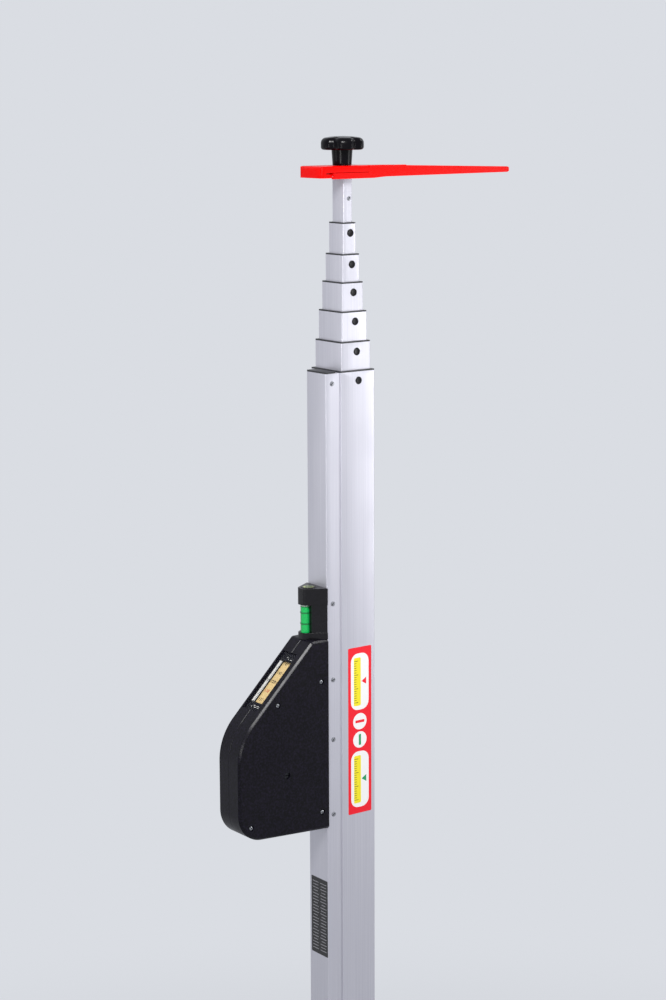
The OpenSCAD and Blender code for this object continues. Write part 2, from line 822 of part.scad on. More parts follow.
// Plug in the innermost tube's mouth, which carries the clamp stud
module end_plug() {
    w = tube_w - 2 * tube_wall - 0.1;
    d = tube_d - 2 * tube_wall - 0.1;
    color([0.12, 0.12, 0.13])
    difference() {
        translate([0, 0, mouth_z(1) - 40])
            linear_extrude(40)
                polygon(soft_rect(w, d, edge_r / 2));
        translate([0, 0, mouth_z(1) - 22])
            cylinder(r = 3.02, h = 30);
        front_hole(end_screw_x, -d / 2, end_screw_z, 1.25, 6);
    }
}

module end_plug_screw() {
    color([0.62, 0.63, 0.65])
    face_screw(end_screw_x, -tube_d / 2, end_screw_z, 2.2, 0.4, 1.2, 5);
}

module clamp_stud() {
    bottom = mouth_z(1) - 20;
    stud_h = knob_seat + 12.7 - bottom;
    color([0.68, 0.69, 0.71])
    translate([0, 0, bottom])
        rotate_extrude()
            polygon([[0, 0], [2.4, 0], [3, 0.8], [3, stud_h - 0.8], [2.4, stud_h], [0, stud_h]]);
}

// Block with rounded upper edges at the front, rear and left, and rounded left corners, which is
// the clamp plate's outer form; drawn in by inset it is the hollow under the plate
module folded_block(inset) {
    z0 = mast_top + pointer_rise;
    x0 = pointer_left + inset;
    top = z0 + pointer_h - inset;
    front = -pointer_front + inset;
    rear = pointer_rear - inset;
    r = pointer_bend - inset;
    low = z0 - (inset > 0 ? 1 : 0);
    right = plate_end + (inset > 0 ? 3 : 0);
    intersection() {
        translate([x0, 0, 0])
            rotate([90, 0, 90])
                linear_extrude(right - x0)
                    round_top(front, rear, low, top, r, true);
        along_y(front, rear)
            round_top(x0, right, low, top, r, false);
        translate([0, 0, low])
            linear_extrude(top - low)
                union() {
                    translate([x0 + r, front])
                        square([right - x0 - r, rear - front]);
                    translate([x0, front + r])
                        square([r + 1, rear - front - 2 * r]);
                    for (y = [front + r, rear - r])
                        translate([x0 + r, y])
                            circle(r = r);
                }
    }
}

// Upright rectangle whose upper left corner, and the right one if both, has radius r
module round_top(left, right, low, top, r, both) {
    translate([left, low])
        square([right - left, top - r - low]);
    translate([left + r, low])
        square([right - left - (both ? 2 : 1) * r, top - low]);
    translate([left + r, top - r])
        circle(r = r);
    if (both)
        translate([right - r, top - r])
            circle(r = r);
}

// Folded sheet: clamp plate with flanges on three sides, the front one drawn out to a needle
module pointer() {
    z0 = mast_top + pointer_rise;
    z1 = z0 + pointer_h;
    y0 = -pointer_front;
    // Left end of the tongue and of the notch before it, and the right end of the slit
    tongue_x = -21.6;
    notch_left = -28.7;
    slit_end = 19;
    color([0.9, 0.08, 0.05])
    difference() {
        union() {
            difference() {
                folded_block(0);
                folded_block(pointer_t);
            }
            // Gusset from the plate to the needle
            translate([0, 0, z1 - pointer_t])
                linear_extrude(pointer_t - 0.4)
                    polygon([[plate_end - 1, y0 + 1], [62, y0 + 1], [62, y0 + 4],
                        [plate_end - 1, pointer_rear - 0.5]]);
            // Tongue and needle
            along_y(y0, y0 + pointer_t)
                polygon([[tongue_x, z0 + 3], [tongue_x, z0 - 0.9], [24, z0 - 0.9], [38, z0],
                    [pointer_reach - 2, z0 + 0.4], [pointer_reach, z0 + 1.2], [pointer_reach, z0 + 4.6],
                    [pointer_reach - 2, z0 + 5.5], [36, z1], [plate_end - 0.5, z1],
                    [plate_end - 0.5, z0 + 3]]);
        }
        // Line pressed into the front above the tongue, and the open notch at its left end
        along_y(y0 - 1, y0 + 1.3)
            polygon([[tongue_x, z0 + 4.2], [slit_end, z0 + 4.2], [slit_end, z0 + 4.8],
                [tongue_x, z0 + 4.8]]);
        along_y(y0 - 1, y0 + pointer_t + 0.1)
            polygon([[notch_left, z0 + 1.2], [tongue_x + 1.5, z0 + 1.2], [tongue_x, z0 + 4.8],
                [notch_left, z0 + 4.8]]);
        translate([0, 0, z1 - 5])
            cylinder(r = 3 + running, h = 10);
    }
}

// Radius of the star knob at an angle, drawn in by d: fat lobes with narrow valleys between them
function knob_r(a, d) = knob_d / 2 * (1 - 0.19 * pow(0.5 - 0.5 * cos(knob_lobes * a), 3)) - d;

// Star knob: a lobed head lofted from rings, on a tapered hub
module knob_head() {
    head = 12;
    z0 = knob_h - head;
    // Rings as [draw-in, height]
    rings = [[6, z0], [1.8, z0 + 0.4], [0.5, z0 + 1.4], [0, z0 + 3], [0, z0 + 5.8], [0.4, z0 + 7.6],
        [1.4, z0 + 9.2], [3, z0 + 10.4], [5.4, z0 + 11.2], [9, z0 + 11.7]];
    n = 60;
    last = len(rings) - 1;
    points = concat(
        [for (g = rings, i = [0:n - 1])
            let (a = i * 360 / n, r = knob_r(a, g[0])) [r * cos(a), r * sin(a), g[1]]],
        [[0, 0, z0], [0, 0, knob_h]]);
    under = len(points) - 2;
    over = len(points) - 1;
    faces = concat(
        [for (j = [0:last - 1], i = [0:n - 1]) [j * n + i, (j + 1) * n + i, (j + 1) * n + (i + 1) % n]],
        [for (j = [0:last - 1], i = [0:n - 1]) [j * n + i, (j + 1) * n + (i + 1) % n, j * n + (i + 1) % n]],
        [for (i = [0:n - 1]) [under, i, (i + 1) % n]],
        [for (i = [0:n - 1]) [over, last * n + (i + 1) % n, last * n + i]]);
    color([0.05, 0.05, 0.06])
    translate([0, 0, knob_seat])
        difference() {
            union() {
                rotate([0, 0, 28])
                    polyhedron(points, faces);
                rotate_extrude()
                    polygon([[0, 0], [8.2, 0], [8.7, 0.5], [9.6, z0 + 1], [0, z0 + 1]]);
            }
            translate([0, 0, -1])
                cylinder(r = 5.02, h = 13);
            cylinder(r = 3.3, h = 14);
        }
}

module knob_insert() {
    color([0.8, 0.65, 0.3])
    translate([0, 0, knob_seat])
        difference() {
            cylinder(r = 5, h = 11.8);
            translate([0, 0, -1])
                cylinder(r = 3 + running, h = 14);
        }
}

body_profile();
body_collar();
channel_cap();
channel_screws();
foot_cap();
foot_pad();
return_roller_pin();
housing_front();
housing_rear();
housing_screws();
reel_axle();
guide_roller_pins();
window_lens();
index_strip();
window_tape();
channel_tape();
level_holder();
tubular_vial();
bullseye_vial();
red_label();
black_label();
reel_drum();
tape_coil();
return_spring();
roller_window_low();
roller_window_high();
roller_channel();
return_roller();
drawn_tube(6);  // tube_6
drawn_tube(5);  // tube_5
drawn_tube(4);  // tube_4
drawn_tube(3);  // tube_3
drawn_tube(2);  // tube_2
drawn_tube(1);  // tube_1
tube_collar(6);  // collar_6
tube_collar(5);  // collar_5
tube_collar(4);  // collar_4
tube_collar(3);  // collar_3
tube_collar(2);  // collar_2
lock_button(body_d, body_wall, mast_top - button_drop);  // button_body
lock_button(depth_of(6), tube_wall, mouth_z(6) - button_drop);  // button_6
lock_button(depth_of(5), tube_wall, mouth_z(5) - button_drop);  // button_5
lock_button(depth_of(4), tube_wall, mouth_z(4) - button_drop);  // button_4
lock_button(depth_of(3), tube_wall, mouth_z(3) - button_drop);  // button_3
lock_button(depth_of(2), tube_wall, mouth_z(2) - button_drop);  // button_2
guide_foot(6);  // guide_foot_6
guide_foot(5);  // guide_foot_5
guide_foot(4);  // guide_foot_4
guide_foot(3);  // guide_foot_3
guide_foot(2);  // guide_foot_2
guide_foot(1);  // guide_foot_1
end_plug();
end_plug_screw();
clamp_stud();
pointer();
knob_head();
knob_insert();
tape_end();
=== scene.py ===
import json
import math

import bmesh
import bpy
import numpy as np
from mathutils import Matrix

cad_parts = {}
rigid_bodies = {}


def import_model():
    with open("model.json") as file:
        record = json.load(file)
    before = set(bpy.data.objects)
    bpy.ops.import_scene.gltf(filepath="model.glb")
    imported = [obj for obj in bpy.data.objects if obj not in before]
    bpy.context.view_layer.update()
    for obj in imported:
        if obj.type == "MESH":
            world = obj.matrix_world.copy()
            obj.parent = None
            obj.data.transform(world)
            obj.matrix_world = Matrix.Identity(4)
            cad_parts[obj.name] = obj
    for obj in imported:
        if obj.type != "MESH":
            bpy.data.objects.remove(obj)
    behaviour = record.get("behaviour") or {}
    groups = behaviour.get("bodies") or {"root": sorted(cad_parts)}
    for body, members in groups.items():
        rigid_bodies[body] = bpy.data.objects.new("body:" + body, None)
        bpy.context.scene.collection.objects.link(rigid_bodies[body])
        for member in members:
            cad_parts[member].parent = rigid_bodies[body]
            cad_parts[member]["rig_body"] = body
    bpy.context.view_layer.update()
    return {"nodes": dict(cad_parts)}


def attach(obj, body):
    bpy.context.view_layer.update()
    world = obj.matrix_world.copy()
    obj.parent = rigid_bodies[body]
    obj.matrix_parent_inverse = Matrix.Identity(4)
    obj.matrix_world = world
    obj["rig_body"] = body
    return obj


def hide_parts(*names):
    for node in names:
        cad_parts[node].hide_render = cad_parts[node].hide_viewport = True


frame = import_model()


# Mast: one extrusion of anodised aluminium with a main chamber and a tape channel.
# The satin anodised skin is pale and soft, with faint die lines that run up the pole.
mast_top, mast_depth = 1200.0, 45.4              # millimetres, as all sizes here
mm = 0.001
same_point = 2e-6                                # metres: points closer than this are merged
crisp_angle = 35                                 # degrees: edges sharper than this stay crisp


def linear(code):
    """Linear RGBA of an sRGB hex code: c / 12.92 when dark, else ((c + 0.055) / 1.055) ** 2.4."""
    c = np.array([int(code[i:i + 2], 16) for i in (1, 3, 5)]) / 255
    c = np.where(c <= 0.04045, c / 12.92, ((c + 0.055) / 1.055) ** 2.4)
    return (*c.tolist(), 1.0)


def add(material, kind, inputs=None, **settings):
    """Adds one shader node: settings are its properties, inputs the values or links of its sockets."""
    tree = material.node_tree
    node = tree.nodes.new("ShaderNode" + kind)
    for key, value in settings.items():
        setattr(node, key, value)
    for key, value in (inputs or {}).items():
        if isinstance(value, bpy.types.NodeSocket):
            tree.links.new(value, node.inputs[key])
        else:
            node.inputs[key].default_value = value
    return node


def empty_material(name):
    """A material whose node tree is still empty."""
    material = bpy.data.materials.new(name)
    material.use_nodes = True
    material.node_tree.nodes.clear()
    return material


def anodised_aluminium(name, colour, shade):
    """Satin anodised extrusion: die lines along Z and a roughness that clouds over 70 mm. The
    lines are 0.4 mm apart, which is coarser than real ones, so that they show."""
    skin = empty_material(name)
    place = add(skin, "TexCoord").outputs["Object"]
    drawn = add(skin, "Mapping", {"Vector": place, "Scale": (2500, 2500, 6)})
    lines = add(skin, "TexNoise", {"Vector": drawn.outputs[0], "Scale": 1.0, "Detail": 2.0})
    cloud = add(skin, "TexNoise", {"Vector": place, "Scale": 14.0, "Detail": 3.0})
    tint = add(skin, "ValToRGB", {"Fac": lines.outputs["Fac"]})
    tint.color_ramp.elements[0].position = 0.3
    tint.color_ramp.elements[0].color = linear(shade)
    tint.color_ramp.elements[1].position = 0.7
    tint.color_ramp.elements[1].color = linear(colour)
    rough = add(skin, "MapRange", {"Value": cloud.outputs["Fac"], "From Min": 0.3, "From Max": 0.7,
                                   "To Min": 0.4, "To Max": 0.5})
    bump = add(skin, "Bump", {"Height": lines.outputs["Fac"], "Strength": 0.06, "Distance": 0.0002})
    metal = add(skin, "BsdfPrincipled", {"Base Color": tint.outputs["Color"], "Metallic": 0.75,
                                         "Roughness": rough.outputs[0], "Normal": bump.outputs[0]})
    add(skin, "OutputMaterial", {"Surface": metal.outputs[0]})
    return skin


def clean(mesh):
    """Merges the points of a mesh that coincide, and turns its faces outwards."""
    work = bmesh.new()
    work.from_mesh(mesh)
    bmesh.ops.remove_doubles(work, verts=work.verts, dist=same_point)
    bmesh.ops.recalc_face_normals(work, faces=work.faces)
    work.to_mesh(mesh)
    work.free()


def settle(name, mesh, material, body, slot, *nodes, angle=crisp_angle):
    """Makes a finished mesh a piece of the object, on its body: shaded smooth, with every edge
    sharper than angle, in degrees, kept crisp. The slot is not used."""
    clean(mesh)
    mesh.polygons.foreach_set("use_smooth", np.ones(len(mesh.polygons), bool))
    mesh.set_sharp_from_angle(angle=math.radians(angle))
    mesh.materials.clear()
    mesh.materials.append(material)
    piece = bpy.data.objects.new(name, mesh)
    bpy.context.scene.collection.objects.link(piece)
    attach(piece, body)
    if nodes:
        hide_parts(*nodes)
    return piece


def softened(name, node, material, slot, width):
    """A copy of a CAD node's solid whose sharp edges are rounded over by width, in mm. A width
    of 0 leaves them sharp."""
    source = frame["nodes"][node]
    mesh = source.data.copy()
    work = bmesh.new()
    work.from_mesh(mesh)
    bmesh.ops.remove_doubles(work, verts=work.verts, dist=same_point)
    bmesh.ops.dissolve_limit(work, angle_limit=math.radians(1), verts=work.verts, edges=work.edges)
    work.to_mesh(mesh)
    work.free()
    piece = settle(name, mesh, material, source["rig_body"], slot, node)
    if width:
        round_over = piece.modifiers.new("round_over", "BEVEL")
        round_over.width = width * mm
        round_over.segments = 2
        round_over.limit_method = "ANGLE"
        round_over.angle_limit = math.radians(crisp_angle)
        round_over.use_clamp_overlap = True
        round_over.harden_normals = True
    return piece


def refinish(material, *names):
    """Gives CAD nodes that keep their own solids a finished material."""
    for name in names:
        for place in frame["nodes"][name].material_slots:
            place.material = material


mast_skin = anodised_aluminium("mast_satin_anodised", "#C9C8D0", "#BEBDC6")
softened("mast_extrusion", "body_profile", mast_skin, "mast_aluminium", width=0.6)


# Foot: a moulded polyamide cap with posts for the tube stack, on a grooved rubber pad.
# Both are dull and dark, the rubber a little dusty.
def moulded(name, colour, dust, grain, rough, depth, shine=0.5):
    """Moulded plastic or rubber: grain of the given size in mm, its high spots in the dust
    colour, and a gloss that changes over 22 mm. A real mould's grain of 0.1 to 0.3 mm is too fine
    to show here, so each is drawn coarser."""
    skin = empty_material(name)
    place = add(skin, "TexCoord").outputs["Object"]
    spark = add(skin, "TexNoise", {"Vector": place, "Scale": 1000 / grain, "Detail": 3.0, "Roughness": 0.6})
    worn = add(skin, "TexNoise", {"Vector": place, "Scale": 45.0, "Detail": 4.0})
    tint = add(skin, "ValToRGB", {"Fac": spark.outputs["Fac"]})
    tint.color_ramp.elements[0].position = 0.42
    tint.color_ramp.elements[0].color = linear(colour)
    tint.color_ramp.elements[1].position = 0.75
    tint.color_ramp.elements[1].color = linear(dust)
    gloss = add(skin, "MapRange", {"Value": worn.outputs["Fac"], "From Min": 0.3, "From Max": 0.7,
                                   "To Min": rough - 0.06, "To Max": rough + 0.06})
    bump = add(skin, "Bump", {"Height": spark.outputs["Fac"], "Strength": depth, "Distance": 0.0003})
    plastic = add(skin, "BsdfPrincipled", {"Base Color": tint.outputs["Color"],
                                           "Roughness": gloss.outputs[0], "Normal": bump.outputs[0],
                                           "Specular IOR Level": shine})
    add(skin, "OutputMaterial", {"Surface": plastic.outputs[0]})
    return skin


foot_polyamide = moulded("foot_polyamide", "#1A1A1C", "#242427", grain=0.9, rough=0.5, depth=0.25)
foot_rubber = moulded("foot_rubber", "#161616", "#2B2A28", grain=1.4, rough=0.8, depth=0.5)
softened("foot_moulding", "foot_cap", foot_polyamide, "foot_polyamide", width=0.5)
softened("foot_sole", "foot_pad", foot_rubber, "foot_rubber", width=0.8)


# Steel small parts: ground pins, the clamp stud, and the axle, whose dark steel paints the
# shade in the housing's axle hole. Plate and dark steel have a faint bloom, and ground steel
# shows a fine grind.
def plated_steel(name, colour, shade, rough):
    """Plated or ground metal: a soft bloom 2 mm across over a grind of 0.2 mm, which is coarser
    than a real one, so that it shows."""
    skin = empty_material(name)
    place = add(skin, "TexCoord").outputs["Object"]
    bloom = add(skin, "TexNoise", {"Vector": place, "Scale": 500.0, "Detail": 2.0})
    grind = add(skin, "TexNoise", {"Vector": place, "Scale": 5000.0, "Detail": 1.0})
    tint = add(skin, "Mix", {0: bloom.outputs["Fac"], 6: linear(colour), 7: linear(shade)},
               data_type="RGBA")
    gloss = add(skin, "MapRange", {"Value": grind.outputs["Fac"],
                                   "To Min": rough - 0.08, "To Max": rough + 0.08})
    metal = add(skin, "BsdfPrincipled", {"Base Color": tint.outputs[2], "Metallic": 1.0,
                                         "Roughness": gloss.outputs[0]})
    add(skin, "OutputMaterial", {"Surface": metal.outputs[0]})
    return skin


ground_steel = plated_steel("ground_steel", "#C4C5C8", "#A9AAAE", rough=0.25)
# A dark steel that paints the shade at the axle's end in the housing's hole.
axle_painted_shade_steel = plated_steel("axle_painted_shade_steel", "#3B3C40", "#2A2B2E", rough=0.35)
refinish(ground_steel, "guide_roller_pins", "return_roller_pin", "clamp_stud")
# Painted shade: the axle's dark steel makes the axle hole look shaded.
refinish(axle_painted_shade_steel, "reel_axle")


# Inside the mast and the housing: drum, tape coil, spring and rollers, which nothing shows.
# The drum is grey ABS, the rollers turned white acetal, the spring blued strip.
acetal = moulded("turned_acetal", "#D9D7CF", "#E4E2DA", grain=0.5, rough=0.4, depth=0.05)
drum_abs = moulded("drum_abs", "#3A3A3F", "#454549", grain=0.8, rough=0.45, depth=0.15)
blued_steel = plated_steel("blued_spring_steel", "#6E7686", "#596070", rough=0.3)
refinish(acetal, "roller_window_low", "roller_window_high", "roller_channel", "return_roller")
refinish(drum_abs, "reel_drum")
refinish(blued_steel, "return_spring")


# Drawn tubes: six rectangular aluminium tubes, anodised as the mast is and a little brighter.
# Each rides in the next on a moulded guide foot, and all but the innermost, which is tube 1,
# carry a black collar in their mouth.
tube_skin = anodised_aluminium("tube_satin_anodised", "#CDCCD4", "#C1C0C9")
collar_polyamide = moulded("collar_polyamide", "#101012", "#1A1A1D", grain=0.7, rough=0.42, depth=0.15)
collared_tubes = (6, 5, 4, 3, 2)
tubes = (*collared_tubes, 1)
for k in tubes:
    softened(f"drawn_tube_{k}", f"tube_{k}", tube_skin, "tube_aluminium", width=0)
refinish(collar_polyamide, "body_collar", "channel_cap", *(f"collar_{k}" for k in collared_tubes))
refinish(foot_polyamide, "end_plug", *(f"guide_foot_{k}" for k in tubes))


# Lock buttons: six round moulded caps, 7 mm across, each in a hole below its tube's mouth.
# The face is dished for a fingertip and its rim is rounded, so it catches a thin bright ring.
def grid_faces(rows, columns, wrap_rows, wrap_columns):
    """Quads between neighbours of a rows x columns grid of points, wrapped round where asked."""
    i, j = np.meshgrid(np.arange(rows if wrap_rows else rows - 1),
                       np.arange(columns if wrap_columns else columns - 1), indexing="ij")
    i2, j2 = (i + 1) % rows, (j + 1) % columns
    quads = [i * columns + j, i2 * columns + j, i2 * columns + j2, i * columns + j2]
    return np.stack(quads, -1).reshape(-1, 4)


def loft(rings):
    """Points and faces of the solid through a stack of loops that have n points each, closed by
    one flat face at both ends."""
    n = len(rings[0])
    faces = grid_faces(len(rings), n, False, True).tolist()
    faces += [list(range(n)), list(range((len(rings) - 1) * n, len(rings) * n))]
    return np.concatenate(rings), faces


def revolve(profile, centre, axis, steps=64):
    """Surface of revolution: profile point (r, h) goes round at radius r, h along the axis.
    A point is centre + r (cos a, sin a) across the axis + h along it, for a from 0 to 360."""
    r, h = np.asarray(profile, float).T
    a = np.linspace(0, 2 * np.pi, steps, endpoint=False)[:, None]
    across = np.stack([r * np.cos(a), r * np.sin(a), np.broadcast_to(h, (steps, len(h)))], -1)
    turned = {"z": across, "y": across[..., [0, 2, 1]]}[axis]
    return (turned + np.asarray(centre, float)).reshape(-1, 3), grid_faces(steps, len(r), True, False)


def surface(points, faces):
    """A mesh from points in millimetres and lists of faces."""
    mesh = bpy.data.meshes.new("surface")
    mesh.from_pydata((np.asarray(points) * mm).tolist(), [], [list(f) for f in faces])
    return mesh


def join_blocks(blocks):
    """One mesh from several (points, faces) solids, the faces renumbered to follow each other."""
    points, faces, start = [], [], 0
    for p, f in blocks:
        points.append(np.asarray(p))
        faces += [[start + i for i in face] for face in f]
        start += len(p)
    return surface(np.concatenate(points), faces)


button_r, rim_round, dish_deep = 3.5, 0.6, 0.28
flange_r, flange_t = button_r + 0.8, 0.35
button_drop = 9.4                                # from a mouth down to its button
lock_x = 0.95                                    # the buttons' middle in X
mast_wall, tube_wall, running = 1.6, 1.1, 0.05   # running: the play behind a wall
button_plastic = moulded("button_moulding", "#08070A", "#100F13",
                         grain=0.5, rough=0.3, depth=0.2, shine=0.2)
inner_depth, depth_step = 17, 4.6                # of tube 1, and from each tube to the next
depths = {"body": mast_depth, **{k: inner_depth + depth_step * (k - 1) for k in collared_tubes}}
rise = {"body": 0, 6: 26, 5: 53, 4: 79, 3: 104, 2: 132}    # of each mouth above the mast's top
corner = np.linspace(0, np.pi / 2, 6)
dish = np.linspace(0, 1, 8)
for k, depth in depths.items():
    behind = (mast_wall if k == "body" else tube_wall) + running
    button_face = np.concatenate([
        np.stack([(button_r - rim_round) * dish, dish_deep * (1 - dish ** 2) - rim_round], -1),
        np.stack([button_r - rim_round * (1 - np.sin(corner)), -rim_round * np.cos(corner)], -1)[1:],
        [[button_r, behind], [flange_r, behind], [flange_r, behind + flange_t], [0, behind + flange_t]]])
    z = mast_top + rise[k] - button_drop
    points, faces = revolve(button_face, (lock_x, -depth / 2, z), "y")
    settle(f"lock_button_{k}", surface(points, faces), button_plastic, f"button_{k}",
           "button_plastic", f"button_{k}")


# Reel housing: two injection moulded ABS half shells that meet at a seam round the edge, and
# stand a little proud of the tape channel. The near-black plastic has a spark-eroded grain, and
# handling has polished its rims.
channel_left, channel_front, channel_back = -35.2, -21.6, 7.4
housing_proud = 2.3
shell_front, shell_back = channel_front - housing_proud, channel_back + housing_proud
seam_y = (channel_front + channel_back) / 2
root_half = math.sqrt(0.5)                       # the slope falls at 45 degrees
slope_x, housing_top = -53.6, mast_top - 244.5
housing_left, left_r, low_r, corner_r = -135.3, 52.9, 26.4, 4.0
left_z = housing_top + (housing_left + left_r - slope_x) - math.sqrt(2) * left_r
low_corner = np.array([housing_left + low_r, mast_top - 394.3])
right_corner = np.array([channel_left + corner_r, mast_top - 421.1])
# The lower edge touches both lower corners, whose centres are low and right, so its normal n
# has n . (right - low) = low_r - corner_r
along_x, along_z = right_corner - low_corner
low_stop = 360 + math.degrees(math.atan2(along_z, along_x)
                              - math.acos((low_r - corner_r) / math.hypot(along_x, along_z)))
# Each rounded corner's x, z and radius, and the degrees where its normals start and stop
housing_corners = [
    (slope_x + (math.sqrt(2) - 1) * corner_r, housing_top - corner_r, corner_r, 90, 135),
    (housing_left + left_r, left_z, left_r, 135, 180),
    (*low_corner, low_r, 180, low_stop)]
arc_step = 2.5                                   # degrees between the points of a corner


def housing_outline(inset, x_end):
    """The housing's edge as a loop in X and Z, drawn in by inset: each corner is an arc of
    centre + (r - inset) n over its normals n, and the loop closes straight down at x_end."""
    loop = [np.array([[x_end, housing_top - inset]])]
    for x, z, r, start, stop in housing_corners:
        a = np.radians(np.linspace(start, stop, int((stop - start) / arc_step) + 1))[:, None]
        loop.append(np.array([x, z]) + (r - inset) * np.concatenate([np.cos(a), np.sin(a)], 1))
    n = np.array([math.cos(a[-1, 0]), math.sin(a[-1, 0])])
    last = loop[-1][-1]
    loop.append(np.array([[x_end, last[1] - n[0] * (x_end - last[0]) / n[1]]]))
    return np.concatenate(loop)


def housing_solid(profile, x_end):
    """Solid whose section is carried round the outline: profile holds pairs (inset, y)."""
    return surface(*loft([np.insert(housing_outline(inset, x_end), 1, y, axis=1)
                          for inset, y in profile]))


box_faces = [(0, 1, 3, 2), (4, 6, 7, 5), (0, 4, 5, 1), (2, 3, 7, 6), (0, 2, 6, 4), (1, 5, 7, 3)]


def box_corners(*limits):
    """The eight corners of a box from three pairs of limits, in the order that box_faces joins."""
    return np.stack(np.meshgrid(*limits, indexing="ij"), -1).reshape(-1, 3)


def on_slope(s, deep, y):
    """Point of the sloping edge: s mm down along it from its top and deep mm below its surface."""
    s, deep, y = np.broadcast_arrays(s, deep, y)
    return np.stack([slope_x + (deep - s) * root_half, y, housing_top - (deep + s) * root_half], -1)


def slope_block(s0, s1, deep0, deep1, y0, y1):
    """Box on the sloping edge, between two values each of s, deep and y."""
    return on_slope(*box_corners((s0, s1), (deep0, deep1), (y0, y1)).T), box_faces


def carve(mesh, tools):
    """Cuts the tool meshes out of a closed mesh."""
    solids = []
    for part in [mesh] + tools:
        clean(part)
        solids.append(bpy.data.objects.new("solid", part))
        bpy.context.scene.collection.objects.link(solids[-1])
    for tool in solids[1:]:
        cut = solids[0].modifiers.new("cut", "BOOLEAN")
        cut.object, cut.operation, cut.solver = tool, "DIFFERENCE", "EXACT"
    ready = solids[0].evaluated_get(bpy.context.evaluated_depsgraph_get())
    carved = bpy.data.meshes.new_from_object(ready)
    for solid in solids:
        bpy.data.objects.remove(solid)
    return carved


def bar_y(c, r, y0, y1):
    """Round bar along the depth at c = (x, drop below the mast's top)."""
    profile = [(0, y0), (r, y0), (r, y1), (0, y1)]
    return surface(*revolve(profile, (c[0], 0, mast_top - c[1]), "y", 48))


shell_wall, rim_r, seam_soft = 2.5, 2.2, 0.2
# The window runs down the slope from and to these values of s, and from near to far in Y
window_from, window_to, window_near, window_far = 25.2, 71.5, -14.2, 3.4
window_deep = 5.5
pane_margin, pane_side, pane_seat, pane_gap = 9.0, 2.1, 1.5, 0.2
overcut = 1                                      # how far a cutting solid reaches past its cut
counterbore_r, counterbore_deep = 2.8, 0.9
shell_screws = [(-43.2, 283.3), (-92.0, 297.6), (-43.0, 407.4), (-122.5, 407.0)]
reel_c, axle_hole_r, axle_hole_deep = (-82.1, 365.3), 3.2, 4
housing_abs = moulded("housing_spark_eroded_abs", "#050408", "#1B1726",
                      grain=1.8, rough=0.36, depth=0.1, shine=0.14)
# Where the normal leans between the face and the edge, so that its part along Y is 0.4 to 0.98
# in size, the roughness falls to 0.75 of the rest
lean = add(housing_abs, "SeparateXYZ", {0: add(housing_abs, "TexCoord").outputs["Normal"]})
lean = add(housing_abs, "Math", {0: lean.outputs["Y"]}, operation="ABSOLUTE")
rubbed = add(housing_abs, "Math", {0: lean.outputs[0], 1: 0.69, 2: 0.29}, operation="COMPARE")
share = add(housing_abs, "MapRange", {"Value": rubbed.outputs[0], "To Min": 1.0, "To Max": 0.75})
housing_gloss = housing_abs.node_tree.nodes["Principled BSDF"].inputs["Roughness"]
polished = add(housing_abs, "Math", {0: housing_gloss.links[0].from_socket, 1: share.outputs[0]},
               operation="MULTIPLY")
housing_abs.node_tree.links.new(polished.outputs[0], housing_gloss)
# The rim is a superellipse of power 1.1, cos(a) ** (2 / 1.1) by sin(a) ** (2 / 1.1), so it is
# nearly a chamfer
rim_power = 2 / 1.1
rim = np.linspace(0, np.pi / 2, 13)
rim_in, rim_deep = rim_r * (1 - np.sin(rim) ** rim_power), rim_r * (1 - np.cos(rim) ** rim_power)
# The pane's seat, with a little room round the pane, and the opening in it
pane_room = slope_block(window_from - pane_margin - pane_gap, window_to + pane_margin + pane_gap,
                        -2 * overcut, pane_seat, window_near - pane_side, window_far + pane_side)
window_room = slope_block(window_from, window_to, -overcut, window_deep, window_near, window_far)
for side, face_y, inward in (("front", shell_front, 1), ("rear", shell_back, -1)):
    rounded = list(zip(rim_in, face_y + inward * rim_deep))
    skin_profile = rounded + [(0, seam_y - inward * seam_soft), (seam_soft, seam_y)]
    cavity_profile = [(shell_wall, face_y + inward * shell_wall), (shell_wall, seam_y + inward * overcut)]
    tools = [housing_solid(cavity_profile, channel_left + overcut),
             surface(*pane_room), surface(*window_room)]
    if side == "front":
        tools += [bar_y(c, counterbore_r, face_y - overcut, face_y + counterbore_deep)
                  for c in shell_screws]
        tools += [bar_y(reel_c, axle_hole_r, face_y - overcut, face_y + axle_hole_deep)]
    shell = carve(housing_solid(skin_profile, channel_left), tools)
    settle(f"housing_shell_{side}", shell, housing_abs, "mast", "housing_abs", f"housing_{side}", angle=30)


# Screws: zinc plated, with low domed heads. The housing's have a cross recess and sit in dark
# counterbores, and those of the channel and the end plug, which have lost some of their shine,
# have one slot. Dark boxes low in the slots are painted shade.
zinc_plate = plated_steel("zinc_plated_steel", "#B4B6BA", "#93959A", rough=0.38)
worn_zinc = plated_steel("worn_zinc_plated_steel", "#A0A1A6", "#83848A", rough=0.42)
# Painted shade: a dark matt colour for boxes laid low in the screw slots.
slot_painted_shade = moulded("slot_painted_shade", "#1C1C1F", "#2B2B2E", grain=0.5, rough=0.7, depth=0.2)
shank_r, shank_long, dome_fall = 1.2, 4.0, 0.45
slot_floor, painted_shade_low, painted_shade_top = 0.05, 0.04, 0.2    # in front of the face that the head sits on
slot_reach, slot_half = 1.5, 0.17                     # shares of the head's radius
painted_shade_reach, painted_shade_half = 0.9, 0.16


def slot_bar(x, z, face_y, half_long, half_wide, low, high, turn):
    """Box that lies across a screw's head at an angle, from low to high in front of its face."""
    along = half_long * np.array([math.cos(turn), 0, math.sin(turn)])
    across = half_wide * np.array([-math.sin(turn), 0, math.cos(turn)])
    points = [np.array([x, face_y - y, z]) + i * along + j * across
              for i in (-1, 1) for j in (-1, 1) for y in (low, high)]
    return points, box_faces


